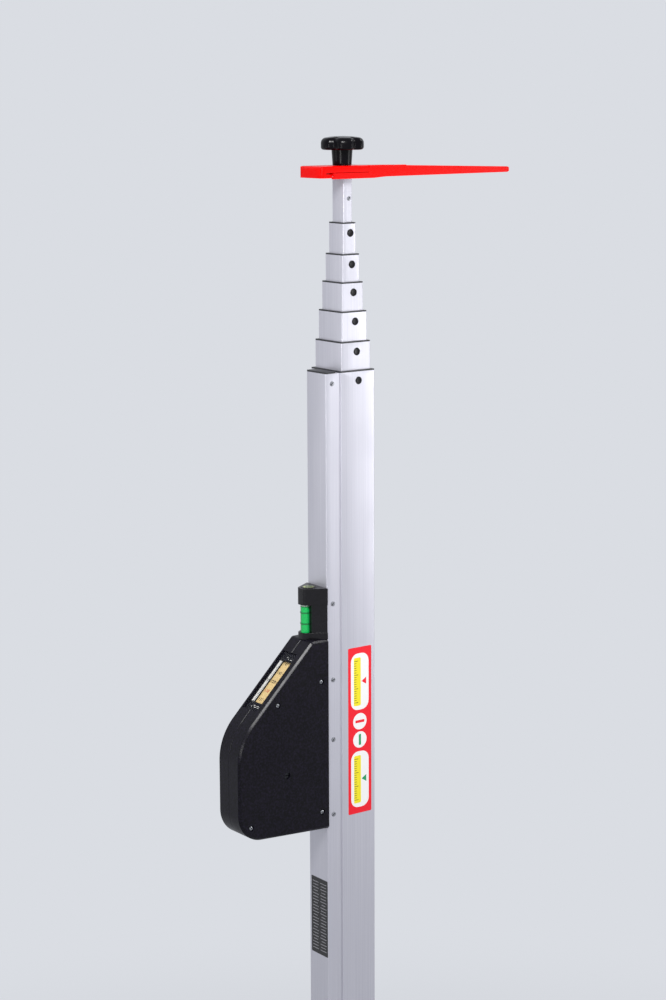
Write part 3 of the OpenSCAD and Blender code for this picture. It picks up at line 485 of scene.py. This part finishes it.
def screw_set(name, node, material, head_r, head_h, screws):
    """Screws into +Y at (x, z, face_y, turns in degrees): one piece that replaces their node, and
    one of dark boxes low in the slots, which are painted shade. A head is a dome, head_h
    (1 - dome_fall r ** 2) high at the share r of its radius, cut by a slot for each turn."""
    r = np.linspace(0, 1, 7)
    cap = np.stack([head_r * r, -head_h * (1 - dome_fall * r ** 2)], -1)
    profile = np.concatenate([cap, [[head_r, 0], [shank_r, 0], [shank_r, shank_long], [0, shank_long]]])
    work = bmesh.new()
    painted_shade = []
    for x, z, face_y, turns in screws:
        cuts = []
        for turn in turns:
            a = math.radians(turn)
            slot = slot_bar(x, z, face_y, slot_reach * head_r, slot_half * head_r,
                            slot_floor, head_h + overcut, a)
            cuts.append(surface(*slot))
            # A dark box low in the slot paints the shade in it.
            painted_shade.append(slot_bar(x, z, face_y, painted_shade_reach * head_r, painted_shade_half * head_r,
                                  painted_shade_low, painted_shade_top, a))
        work.from_mesh(carve(surface(*revolve(profile, (x, face_y, z), "y", 32)), cuts))
    mesh = bpy.data.meshes.new(name)
    work.to_mesh(mesh)
    work.free()
    body = frame["nodes"][node]["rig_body"]
    settle(name, mesh, material, body, "zinc_screw", node)
    # The dark slot boxes, which are painted shade.
    settle(f"{name}_grime", join_blocks(painted_shade), slot_painted_shade, body, "zinc_screw")


screw_set("housing_cross_screws", "housing_screws", zinc_plate, head_r=1.7, head_h=0.8,
          screws=[(x, mast_top - drop, shell_front + counterbore_deep, (28 + 31 * i, 118 + 31 * i))
                  for i, (x, drop) in enumerate(shell_screws)])
channel_screw_x = -28.3
screw_set("channel_slot_screws", "channel_screws", worn_zinc, head_r=2.3, head_h=0.5,
          screws=[(channel_screw_x, mast_top - drop, channel_front, (turn,))
                  for drop, turn in ((10.2, 38), (212.5, 46), (284.1, 20), (341, 52), (413, 33))])
screw_set("end_plug_slot_screw", "end_plug_screw", worn_zinc, head_r=2.1, head_h=0.4,
          screws=[(1.1, mast_top + 153.1, -inner_depth / 2, (64,))])


# Level holder: one moulding like the housing's plastic, screwed to the channel above the reel.
# It is a wedge in plan, notched for the vial, smoother than the housing, with mould-soft edges.
holder_abs = moulded("holder_smooth_abs", "#060508", "#141218",
                     grain=1.2, rough=0.24, depth=0.1, shine=0.3)
softened("level_holder_moulding", "level_holder", holder_abs, "housing_abs", width=0.7)


# Reading window: a clear acrylic pane with bevelled edges in a seat on the slope. A white index
# strip on a black carrier lies under it beside the tape, and a black line across the pane's
# underside marks the reading. Printed white marks lie on the seat at both ends of the opening.
def clear_acrylic(name, colour, alpha, rough):
    """Clear or tinted acrylic: see-through by its alpha, with a polish that changes over 8 mm."""
    skin = empty_material(name)
    place = add(skin, "TexCoord").outputs["Object"]
    polish = add(skin, "TexNoise", {"Vector": place, "Scale": 120.0, "Detail": 2.0})
    gloss = add(skin, "MapRange", {"Value": polish.outputs["Fac"], "To Min": rough, "To Max": rough + 0.05})
    acrylic = add(skin, "BsdfPrincipled", {"Base Color": linear(colour), "Roughness": gloss.outputs[0],
                                           "Alpha": alpha, "IOR": 1.49})
    add(skin, "OutputMaterial", {"Surface": acrylic.outputs[0]})
    return skin


def printed_film(name, colour, shade, rough):
    """Printed or lacquered film: an even coat with a slight 3 mm mottle in colour and gloss."""
    skin = empty_material(name)
    place = add(skin, "TexCoord").outputs["Object"]
    mottle = add(skin, "TexNoise", {"Vector": place, "Scale": 330.0, "Detail": 3.0})
    tint = add(skin, "Mix", {0: mottle.outputs["Fac"], 6: linear(colour), 7: linear(shade)},
               data_type="RGBA")
    gloss = add(skin, "MapRange", {"Value": mottle.outputs["Fac"],
                                   "To Min": rough - 0.05, "To Max": rough + 0.05})
    film = add(skin, "BsdfPrincipled", {"Base Color": tint.outputs[2], "Roughness": gloss.outputs[0],
                                        "IOR": 1.5})
    add(skin, "OutputMaterial", {"Surface": film.outputs[0]})
    return skin


pane_acrylic = clear_acrylic("pane_acrylic", "#22262C", alpha=0.06, rough=0.03)
index_enamel = printed_film("index_white_print", "#F2F1EC", "#E6E5E0", rough=0.4)
tape_lacquer = printed_film("tape_yellow_lacquer", "#F0D398", "#E5C586", rough=0.35)
tape_ink = printed_film("tape_black_print", "#1B1712", "#2A241C", rough=0.5)
tape_red = printed_film("tape_red_print", "#C4331C", "#B82C17", rough=0.5)
pane_top, pane_bottom, pane_bevel = 0.3, 1.45, 0.3
pane = slope_block(window_from - pane_margin, window_to + pane_margin, pane_top, pane_bottom,
                   window_near - pane_side + pane_gap, window_far + pane_side - pane_gap)
pane_piece = settle("window_pane", surface(*pane), pane_acrylic, "mast", "window_acrylic", "window_lens")
pane_edge = pane_piece.modifiers.new("pane_edge", "BEVEL")
pane_edge.width, pane_edge.segments = pane_bevel * mm, 2

# The tape's and the strip's places below the slope's surface are depths, as the pane's are
tape_w, tape_top = 13, 4.0
tape_near, tape_far = seam_y - tape_w / 2, seam_y + tape_w / 2
strip_from, strip_to, strip_near, strip_far = window_from - 1.5, window_to + 1.5, tape_far - 0.5, 6.9
strip_low, carrier_low, carrier_edge = shell_wall + 0.3, shell_wall + 1.1, 0.8
carrier = slope_block(strip_from, strip_to, strip_low, carrier_low, strip_near, strip_far)
settle("window_strip_carrier", surface(*carrier), housing_abs, "mast", "housing_abs")
strip = slope_block(strip_from, strip_to, shell_wall, strip_low, strip_near + carrier_edge, strip_far)
settle("window_index_strip", surface(*strip), index_enamel, "mast", "index_white", "index_strip")

seat_print = (pane_seat - 0.04, pane_seat)
mark_wide, line_from, line_to = 0.5, 46.6, 47.0
end_marks = [slope_block(s, s + mark_wide, *seat_print, y, y + length)
             for s, y, length in ((20.9, -6.4, 2.2), (22.4, -12.8, 2.6), (22.4, -8.2, 1.2),
                                  (74.8, -13.6, 3.8), (74.8, -7.6, 2.4), (76.4, -14.0, 2.2),
                                  (76.4, -10.2, 3.2), (76.4, -3.8, 1.2))]
settle("window_end_marks", join_blocks(end_marks), index_enamel, "mast", "index_white")
reading_line = slope_block(line_from, line_to, *seat_print, window_near, window_far)
settle("window_reading_line", surface(*reading_line), tape_ink, "mast", "window_acrylic")


# Tape: yellow lacquered steel, 13 mm wide, printed in black with millimetre strokes and plain
# numbers, one of them red. Only the stretch between the two window rollers shows, beside the
# ticks of the index strip.
refinish(tape_lacquer, "window_tape", "channel_tape", "tape_coil", "tape_end")
first_stroke, stroke_count, stroke_half, tape_print = 22, 53, 0.11, 0.03
long_stroke, middle_stroke, short_stroke = 4.4, 3.4, 2.0
strokes = []
for step in range(stroke_count):
    reach = long_stroke if step % 10 == 5 else middle_stroke if step % 10 == 0 else short_stroke
    s = first_stroke + step
    strokes.append(slope_block(s - stroke_half, s + stroke_half, tape_top, tape_top + tape_print,
                               tape_near, tape_near + reach))
settle("tape_strokes", join_blocks(strokes), tape_ink, "mast", "tape_lacquer")

first_number, number_count, red_number, number_size = 141, 5, 3, 4.6
number_middle = tape_near + 8.6
number_curve = bpy.data.curves.new("number", "FONT")
number_curve.size, number_curve.align_x, number_curve.align_y = number_size, "CENTER", "CENTER"
number_curve.extrude = tape_print / 2
number_piece = bpy.data.objects.new("number", number_curve)
bpy.context.scene.collection.objects.link(number_piece)
numbers = []
for i in range(number_count):
    number_curve.body = str(first_number - i)
    bpy.context.view_layer.update()
    ready = number_piece.evaluated_get(bpy.context.evaluated_depsgraph_get())
    shape = bpy.data.meshes.new_from_object(ready)
    flat = np.zeros(len(shape.vertices) * 3)
    shape.vertices.foreach_get("co", flat)
    x, y, z = flat.reshape(-1, 3).T
    # The number stands upright to a reader on the left: across towards the front, up along the
    # slope, at the long stroke in the middle of its centimetre
    s = first_stroke + 5 + 10 * i
    numbers.append((on_slope(s - y, tape_top + tape_print / 2 - z, number_middle - x),
                    [list(f.vertices) for f in shape.polygons]))
bpy.data.objects.remove(number_piece)
red = numbers.pop(red_number)
settle("tape_number_red", join_blocks([red]), tape_red, "mast", "tape_lacquer")
settle("tape_numbers", join_blocks(numbers), tape_ink, "mast", "tape_lacquer")
tick_half, tick_gap, tick_print, long_tick, short_tick = 0.25, 1.5, 0.02, 3.1, 2.2
index_ticks = [slope_block(s - tick_half, s + tick_half, shell_wall - tick_print, shell_wall,
                           strip_near + carrier_edge + 0.05,
                           strip_near + (long_tick if step % 5 == 0 else short_tick))
               for step, s in enumerate(np.arange(window_from + 0.4, window_to, tick_gap))]
settle("window_index_ticks", join_blocks(index_ticks), tape_ink, "mast", "index_white")


# Tubular level: a polished green acrylic barrel that stands in the holder's notch, with two
# dark rings round it and an air bubble at its upper end, whose near-white colour is a
# painted highlight.
vial_x, vial_r, vial_bevel, core_r = -49.1, 4.6, 0.4, 4.1
vial_low, vial_high = mast_top - 240.3, mast_top - 210.6
meniscus = mast_top - 214.6
green_liquid = clear_acrylic("green_spirit", "#13B457", alpha=1.0, rough=0.08)
vial_glass = clear_acrylic("vial_acrylic", "#2FCB6E", alpha=0.15, rough=0.03)
# Painted highlight: the air pocket's near-white colour.
vial_air_painted_highlight = clear_acrylic("vial_air_painted_highlight", "#F4FFF8", alpha=1.0, rough=0.05)
ring_ink = printed_film("vial_ring_ink", "#0B4A28", "#0E5530", rough=0.4)
vial_centre = (vial_x, seam_y, 0)
barrel = [(0, vial_low), (vial_r - vial_bevel, vial_low), (vial_r, vial_low + vial_bevel),
          (vial_r, vial_high - vial_bevel), (vial_r - vial_bevel, vial_high), (0, vial_high)]
settle("vial_barrel", surface(*revolve(barrel, vial_centre, "z")), vial_glass, "mast", "vial_acrylic",
       "tubular_vial")
liquid = [(0, vial_low + 0.8), (core_r, vial_low + 0.8), (core_r, meniscus + 0.3), (core_r - 0.4, meniscus),
          (0, meniscus - 0.1)]
settle("vial_liquid", surface(*revolve(liquid, vial_centre, "z")), green_liquid, "mast", "vial_acrylic")
air = [(0, meniscus), (core_r - 0.5, meniscus + 0.2), (core_r - 0.1, meniscus + 0.6),
       (core_r - 0.1, vial_high - 1.4), (core_r - 0.8, vial_high - 0.8), (0, vial_high - 0.7)]
# The air pocket's near-white colour is a painted highlight.
settle("vial_air", surface(*revolve(air, vial_centre, "z")), vial_air_painted_highlight, "mast", "vial_acrylic")
band_in, band_out, band_half = vial_r - 0.15, vial_r + 0.04, 0.35
vial_rings = [revolve([(band_in, z - band_half), (band_out, z - band_half), (band_out, z + band_half),
                       (band_in, z + band_half), (band_in, z - band_half)], vial_centre, "z")
              for z in (mast_top - 220.0, mast_top - 230.2)]
settle("vial_rings", join_blocks(vial_rings), ring_ink, "mast", "vial_acrylic")


# Circular level: a domed acrylic cup with yellow-green spirit, a bubble and a printed ring.
# It is pressed into the holder's top, and its wall is black.
bull_x, bull_r, bull_top, cup_deep = -45.4, 7.2, mast_top - 197.0, 7.9
dome_r, dome_rise, bubble_r = bull_r - 1.75, 0.68, 1.9
lime_liquid = clear_acrylic("lime_spirit", "#59612A", alpha=1.0, rough=0.1)
lime_bubble = clear_acrylic("lime_bubble", "#D3E07E", alpha=1.0, rough=0.08)
bull_centre = (bull_x, seam_y, bull_top)
cup = [(0, -cup_deep), (bull_r, -cup_deep), (bull_r, 0.1), (bull_r - 0.25, 0.35), (bull_r - 1.5, 0.45),
       (bull_r - 1.7, 0.2), (bull_r - 1.7, -0.6), (0, -0.6)]
settle("bullseye_cup", surface(*revolve(cup, bull_centre, "z")), button_plastic, "mast", "bullseye_acrylic",
       "bullseye_vial")
# The dome and the bubble are parabolas, which fall by r ** 2 over 110 and over 45
r = np.linspace(0, dome_r, 10)
dome = np.concatenate([np.stack([r, dome_rise - r ** 2 / 110], -1), [[dome_r, -0.55], [0, -0.55]]])
settle("bullseye_dome", surface(*revolve(dome, bull_centre, "z")), lime_liquid, "mast", "bullseye_acrylic")
r = np.linspace(0, bubble_r, 7)
bubble = np.concatenate([np.stack([r, 0.72 - r ** 2 / 45], -1), [[bubble_r, 0.45], [0, 0.45]]])
bubble_centre = (bull_x - 2.6, seam_y + 0.4, bull_top - 0.12)
settle("bullseye_bubble", surface(*revolve(bubble, bubble_centre, "z")), lime_bubble, "mast",
       "bullseye_acrylic")
ring = [(2.6, 0.5), (2.6, 0.68), (3.0, 0.66), (3.0, 0.5), (2.6, 0.5)]
settle("bullseye_ring", surface(*revolve(ring, bull_centre, "z")), ring_ink, "mast", "bullseye_acrylic")


# Stickers: printed plastic film on the mast's front and on the channel's side. The red one has
# white panels with yellow scales and triangles, and two discs with a bar; the black one has
# fine rules.
def plate(outline, low, high):
    """Flat plate from a 2-D outline (n, 2), standing from low to high in its third direction."""
    return loft([np.insert(outline, 2, level, axis=1) for level in (low, high)])


def printed(layer, outline):
    """A 2-D outline printed on a sticker's film, in the given layer of ink, from 0 up."""
    return plate(outline, film_t + layer * ink_t, film_t + (layer + 1) * ink_t)


def soft_rectangle(cx, cy, w, h, r, steps=6):
    """Rectangle with rounded corners: four quarter circles of radius r about its inner corners."""
    a = np.linspace(0, np.pi / 2, steps)
    quarters = [np.stack([cx + sx * (w / 2 - r) + r * np.cos(a + turn),
                          cy + sy * (h / 2 - r) + r * np.sin(a + turn)], -1)
                for sx, sy, turn in ((1, 1, 0), (-1, 1, np.pi / 2), (-1, -1, np.pi), (1, -1, 1.5 * np.pi))]
    return np.concatenate(quarters)


def on_front(blocks, x0, y0, z0):
    """Plates drawn as (across, up, out) laid on a face that looks to the front."""
    return [(np.stack([x0 + p[:, 0], y0 - p[:, 2], z0 + p[:, 1]], -1), f) for p, f in blocks]


def on_left(blocks, x0, y0, z0):
    """The same on a face that looks to the left."""
    return [(np.stack([x0 - p[:, 2], y0 - p[:, 0], z0 + p[:, 1]], -1), f) for p, f in blocks]


red_film = printed_film("sticker_red", "#F50D28", "#EE0A22", rough=0.45)
white_film = printed_film("sticker_white", "#FCFBFA", "#F6F5F4", rough=0.32)
yellow_film = printed_film("sticker_yellow", "#FBEC2A", "#F6E41E", rough=0.32)
green_film = printed_film("sticker_green", "#1E9E62", "#1A9259", rough=0.32)
black_film = printed_film("sticker_black", "#08080A", "#0E0E10", rough=0.4)
grey_film = printed_film("sticker_grey", "#B9B7BE", "#A9A7AF", rough=0.4)
film_t, ink_t = 0.11, 0.012
front_w, front_h, front_place = 26.7, 159.8, (1.45, -mast_depth / 2, mast_top - 337.3)
panel_up, panel_w, panel_h, panel_round = 47, 20.5, 54, 8
scale_x, scale_w, scale_h, scale_left = -2.9, 8.0, 46, -6.4
scale_strokes, scale_low, scale_step, scale_stroke = 19, 19.8, 2.2, 0.5
scale_long, scale_short = 4.6, 2.6
disc_up, disc_w, bar_long, bar_wide = 8.8, 15.6, 10.4, 2.6
triangle = np.array([[2.0, 0], [7.4, 3.4], [7.4, -3.4]])
inks = {"red": red_film, "white": white_film, "yellow": yellow_film, "black": black_film,
        "green": green_film, "signal": red_film}
drawn = {colour: [] for colour in inks}
drawn["red"].append(plate(soft_rectangle(0, 0, front_w, front_h, 1.2), 0, film_t))
for centre, colour in ((panel_up, "signal"), (-panel_up, "green")):
    drawn["white"].append(printed(0, soft_rectangle(0, centre, panel_w, panel_h, panel_round)))
    drawn["yellow"].append(printed(1, soft_rectangle(scale_x, centre, scale_w, scale_h, 1.4)))
    for step in range(scale_strokes):
        reach = scale_long if step % 6 == 0 else scale_short
        stroke = soft_rectangle(scale_left + reach / 2, centre - scale_low + scale_step * step,
                                reach, scale_stroke, 0.2, 3)
        drawn["black"].append(printed(2, stroke))
    drawn[colour].append(printed(1, triangle + [0, centre]))
for centre in (-disc_up, disc_up):
    drawn["white"].append(printed(0, soft_rectangle(0, centre, disc_w, disc_w, 7.7, 10)))
drawn["signal"].append(printed(1, soft_rectangle(0, disc_up, bar_long, bar_wide, 0.6)))
drawn["green"].append(printed(1, soft_rectangle(0, -disc_up, bar_wide, bar_long, 0.6)))
for colour, blocks in drawn.items():
    replaced = ["red_label"] if colour == "red" else []
    settle(f"front_sticker_{colour}", join_blocks(on_front(blocks, *front_place)), inks[colour], "mast",
           "red_sticker", *replaced)

side_w, side_h, side_place = 25.4, 75, (channel_left, -8.1, mast_top - 515.5)
rule_x, rule_wide, rule_lengths = 6.1, 0.45, [9.6, 8.2, 9.6, 6.4] * 6
rule_end, rule_gap = 33, 3.0
side_film = plate(soft_rectangle(0, 0, side_w, side_h, 0.8), 0, film_t)
settle("side_sticker", join_blocks(on_left([side_film], *side_place)), black_film, "mast",
       "black_sticker", "black_label")
rules = [printed(0, soft_rectangle(x, z, length, rule_wide, 0.2, 3))
         for x in (-rule_x, rule_x)
         for z, length in zip(np.arange(-rule_end, rule_end + 1, rule_gap), rule_lengths)]
settle("side_sticker_rules", join_blocks(on_left(rules, *side_place)), grey_film, "mast", "black_sticker")


# Pointer: one folded steel sheet, powder coated signal red, clamped on the innermost tube.
# The coat has a soft gloss and a very slight orange peel, about 1 mm across.
powder_coat = empty_material("red_powder_coat")
place = add(powder_coat, "TexCoord").outputs["Object"]
peel = add(powder_coat, "TexNoise", {"Vector": place, "Scale": 900.0, "Detail": 1.0})
fade = add(powder_coat, "TexNoise", {"Vector": place, "Scale": 60.0, "Detail": 3.0})
red_tint = add(powder_coat, "Mix", {0: fade.outputs["Fac"], 6: linear("#DE0602"), 7: linear("#D20402")},
               data_type="RGBA")
peel_bump = add(powder_coat, "Bump", {"Height": peel.outputs["Fac"], "Strength": 0.12, "Distance": 0.0002})
coat = add(powder_coat, "BsdfPrincipled", {"Base Color": red_tint.outputs[2], "Roughness": 0.32,
                                           "Normal": peel_bump.outputs[0], "Specular IOR Level": 0.12})
add(powder_coat, "OutputMaterial", {"Surface": coat.outputs[0]})
softened("pointer_sheet", "pointer", powder_coat, "pointer_paint", width=0.3)
# The sheet's inner lip, which shows red through the notch at the tongue's left end
lip = box_corners((-30.5, -20.5), (-13.0, -12.2), (mast_top + 172.1, mast_top + 178.5))
settle("pointer_inner_lip", surface(lip, box_faces), powder_coat, "pointer", "pointer_paint")


# Star knob: black phenolic grip with five fat lobes on a tapered hub, polished by moulding.
# A threaded brass insert is moulded into it.
pointer_rise, pointer_h, seat_gap = 171.9, 10.4, 0.3
knob_seat = mast_top + pointer_rise + pointer_h + seat_gap
lobes, lobe_deep, knob_rim, knob_height, head = 5, 0.19, 19.7, 25.6, 12.0
knob_turn = math.radians(28)
under_round, top_round = 2.6, 5.0
hub_r, hub_foot_r, insert_r = 9.5, 8.1, 5.02
around = np.linspace(0, 2 * np.pi, 180, endpoint=False)
# The rim's radius over its greatest: the valleys between the lobes are narrow, by a cube
lobe = 1 - lobe_deep * (0.5 - 0.5 * np.cos(lobes * around)) ** 3
t = np.linspace(0, np.pi / 2, 10)
under = knob_height - head
# The head's section, as rings from below to the top: how far in from the rim, and how far up
ring_in = np.concatenate([[8.5, 5.0], under_round * (1 - np.sin(t)), [0.0],
                          top_round * (1 - np.cos(t)), [7.5, 11.5, 16.5]])
ring_z = under + np.concatenate([[0, 0], under_round * (1 - np.cos(t)), [5.2],
                                 6.0 + top_round * np.sin(t), [11.4, 11.8, head]])
radius = knob_rim * lobe[None, :] - ring_in[:, None]
# Further in than 6 mm, the rings keep only 0.4 of the lobes' depth
inner = (knob_rim - ring_in[:, None]) * (1 + (lobe[None, :] - 1) * 0.4)
radius = np.where(ring_in[:, None] > 6, inner, radius)
head_rings = np.stack([radius * np.cos(around + knob_turn), radius * np.sin(around + knob_turn),
                       np.broadcast_to(ring_z[:, None] + knob_seat, radius.shape)], -1)
hub_profile = [(insert_r, 0), (hub_foot_r, 0), (hub_foot_r + 0.5, 0.5), (hub_r, under),
               (hub_r, under + 1.5), (insert_r, under + 1.5), (insert_r, 0)]
hub = revolve(hub_profile, (0, 0, knob_seat), "z", 96)
phenolic = moulded("polished_phenolic", "#030205", "#060508",
                   grain=3.0, rough=0.2, depth=0.02, shine=0.12)
settle("star_knob", join_blocks([loft(head_rings), hub]), phenolic, "knob", "knob_phenolic",
       "knob_head", angle=40)
insert_brass = plated_steel("turned_brass", "#C9A44E", "#B8913F", rough=0.3)
refinish(insert_brass, "knob_insert")


# View, light and floor: the camera stands where the photograph was taken, to the front left.
# Soft oval lamps stand high in front, on both sides and behind on the left, over a plain pale
# floor that fades into the backdrop.
camera_data = bpy.data.cameras.new("view")
camera_data.lens, camera_data.sensor_width = 80.597, 36.0
camera_data.clip_end = 60.0
camera = bpy.data.objects.new("view", camera_data)
bpy.context.scene.collection.objects.link(camera)
bpy.context.scene.camera = camera
camera_place = (-1.2121, -1.6239, 1.4533)
heading, pitch, roll = 0.6365765, 0.1833824, -0.0042427
ahead = np.array([math.sin(heading) * math.cos(pitch), math.cos(heading) * math.cos(pitch),
                  -math.sin(pitch)])
level = np.array([math.cos(heading), -math.sin(heading), 0.0])
upward = np.cross(level, ahead)
camera_right = level * math.cos(roll) + upward * math.sin(roll)
camera_up = upward * math.cos(roll) - level * math.sin(roll)
camera.matrix_world = (Matrix.Translation(camera_place)
                       @ Matrix(np.stack([camera_right, camera_up, -ahead], 1).tolist()).to_4x4())

# Each lamp's place, its aim, its width and height in metres, and its power in watts
for name, spot, aim, width, height, power in (
        ("key_lamp", (-0.555, -0.725, 1.888), (0, 0, 1.1), 0.4, 0.4, 19),
        ("right_lamp", (1.1, -0.95, 1.05), (0, 0, 1.1), 0.4, 0.6, 4.2),
        ("corner_lamp", (-1.3, -0.95, 1.1), (0, 0, 1.0), 0.3, 0.4, 4),
        ("top_lamp", (0.75, -0.3, 1.98), (0, 0, 1.2), 0.3, 0.3, 3),
        ("left_lamp", (-1.25, 0.45, 1.0), (0, 0, 1.1), 0.3, 0.6, 1.5)):
    lamp = bpy.data.lights.new(name, "AREA")
    lamp.shape, lamp.size, lamp.size_y, lamp.energy = "ELLIPSE", width, height, power
    lamp_object = bpy.data.objects.new(name, lamp)
    lamp_object.visible_camera = False
    bpy.context.scene.collection.objects.link(lamp_object)
    back = np.array(spot, float) - aim
    back /= np.linalg.norm(back)
    side = np.cross((0, 0, 1), back)
    side /= np.linalg.norm(side)
    lamp_object.matrix_world = (Matrix.Translation(spot)
                                @ Matrix(np.stack([side, np.cross(back, side), back], 1).tolist()).to_4x4())


def surround_strength(material):
    """Strength of the pale surround: 1 where the camera sees it, in a gloss or through clear
    plastic too, and 0.3 where it only adds light."""
    rays = add(material, "LightPath")
    seen = add(material, "Math", {0: rays.outputs["Is Camera Ray"], 1: rays.outputs["Is Glossy Ray"]},
               operation="MAXIMUM")
    seen = add(material, "Math", {0: seen.outputs[0], 1: rays.outputs["Is Transmission Ray"]},
               operation="MAXIMUM")
    return add(material, "MapRange", {"Value": seen.outputs[0], "To Min": 0.3, "To Max": 1.0}).outputs[0]


backdrop = linear("#DADDE3")
world = bpy.data.worlds.new("studio")
world.use_nodes = True
world.node_tree.nodes.clear()
sky = add(world, "Background", {"Color": backdrop, "Strength": surround_strength(world)})
add(world, "OutputWorld", {"Surface": sky.outputs[0]})
bpy.context.scene.world = world

# The floor fades into the backdrop's colour away from the pole, and keeps the pole's shadow
floor_skin = empty_material("studio_floor")
place = add(floor_skin, "TexCoord").outputs["Object"]
away = add(floor_skin, "VectorMath", {0: place}, operation="LENGTH")
fade = add(floor_skin, "MapRange", {"Value": away.outputs["Value"], "From Min": 0.3, "From Max": 1.7,
                                    "To Min": 0.4, "To Max": 1.0},
           interpolation_type="SMOOTHSTEP")
matt = add(floor_skin, "BsdfPrincipled", {"Base Color": linear("#D6D9DF"), "Roughness": 0.9})
glow = add(floor_skin, "Emission", {"Color": backdrop, "Strength": surround_strength(floor_skin)})
blend = add(floor_skin, "MixShader", {0: fade.outputs[0], 1: matt.outputs[0], 2: glow.outputs[0]})
add(floor_skin, "OutputMaterial", {"Surface": blend.outputs[0]})
floor_turns, floor_rings = 96, 13
distance = np.concatenate([[0.01], np.geomspace(0.3, 30, floor_rings - 1)]) / mm
turn = np.linspace(0, 2 * np.pi, floor_turns, endpoint=False)[:, None]
floor_points = np.stack([distance * np.cos(turn), distance * np.sin(turn),
                         np.zeros((floor_turns, floor_rings))], -1).reshape(-1, 3)
floor_faces = grid_faces(floor_turns, floor_rings, True, False).tolist()
floor_faces.append(list(range(0, floor_turns * floor_rings, floor_rings)))
floor_mesh = surface(floor_points, floor_faces)
floor_mesh.materials.append(floor_skin)
floor = bpy.data.objects.new("floor", floor_mesh)
bpy.context.scene.collection.objects.link(floor)
bpy.context.scene.view_settings.view_transform = "Standard"
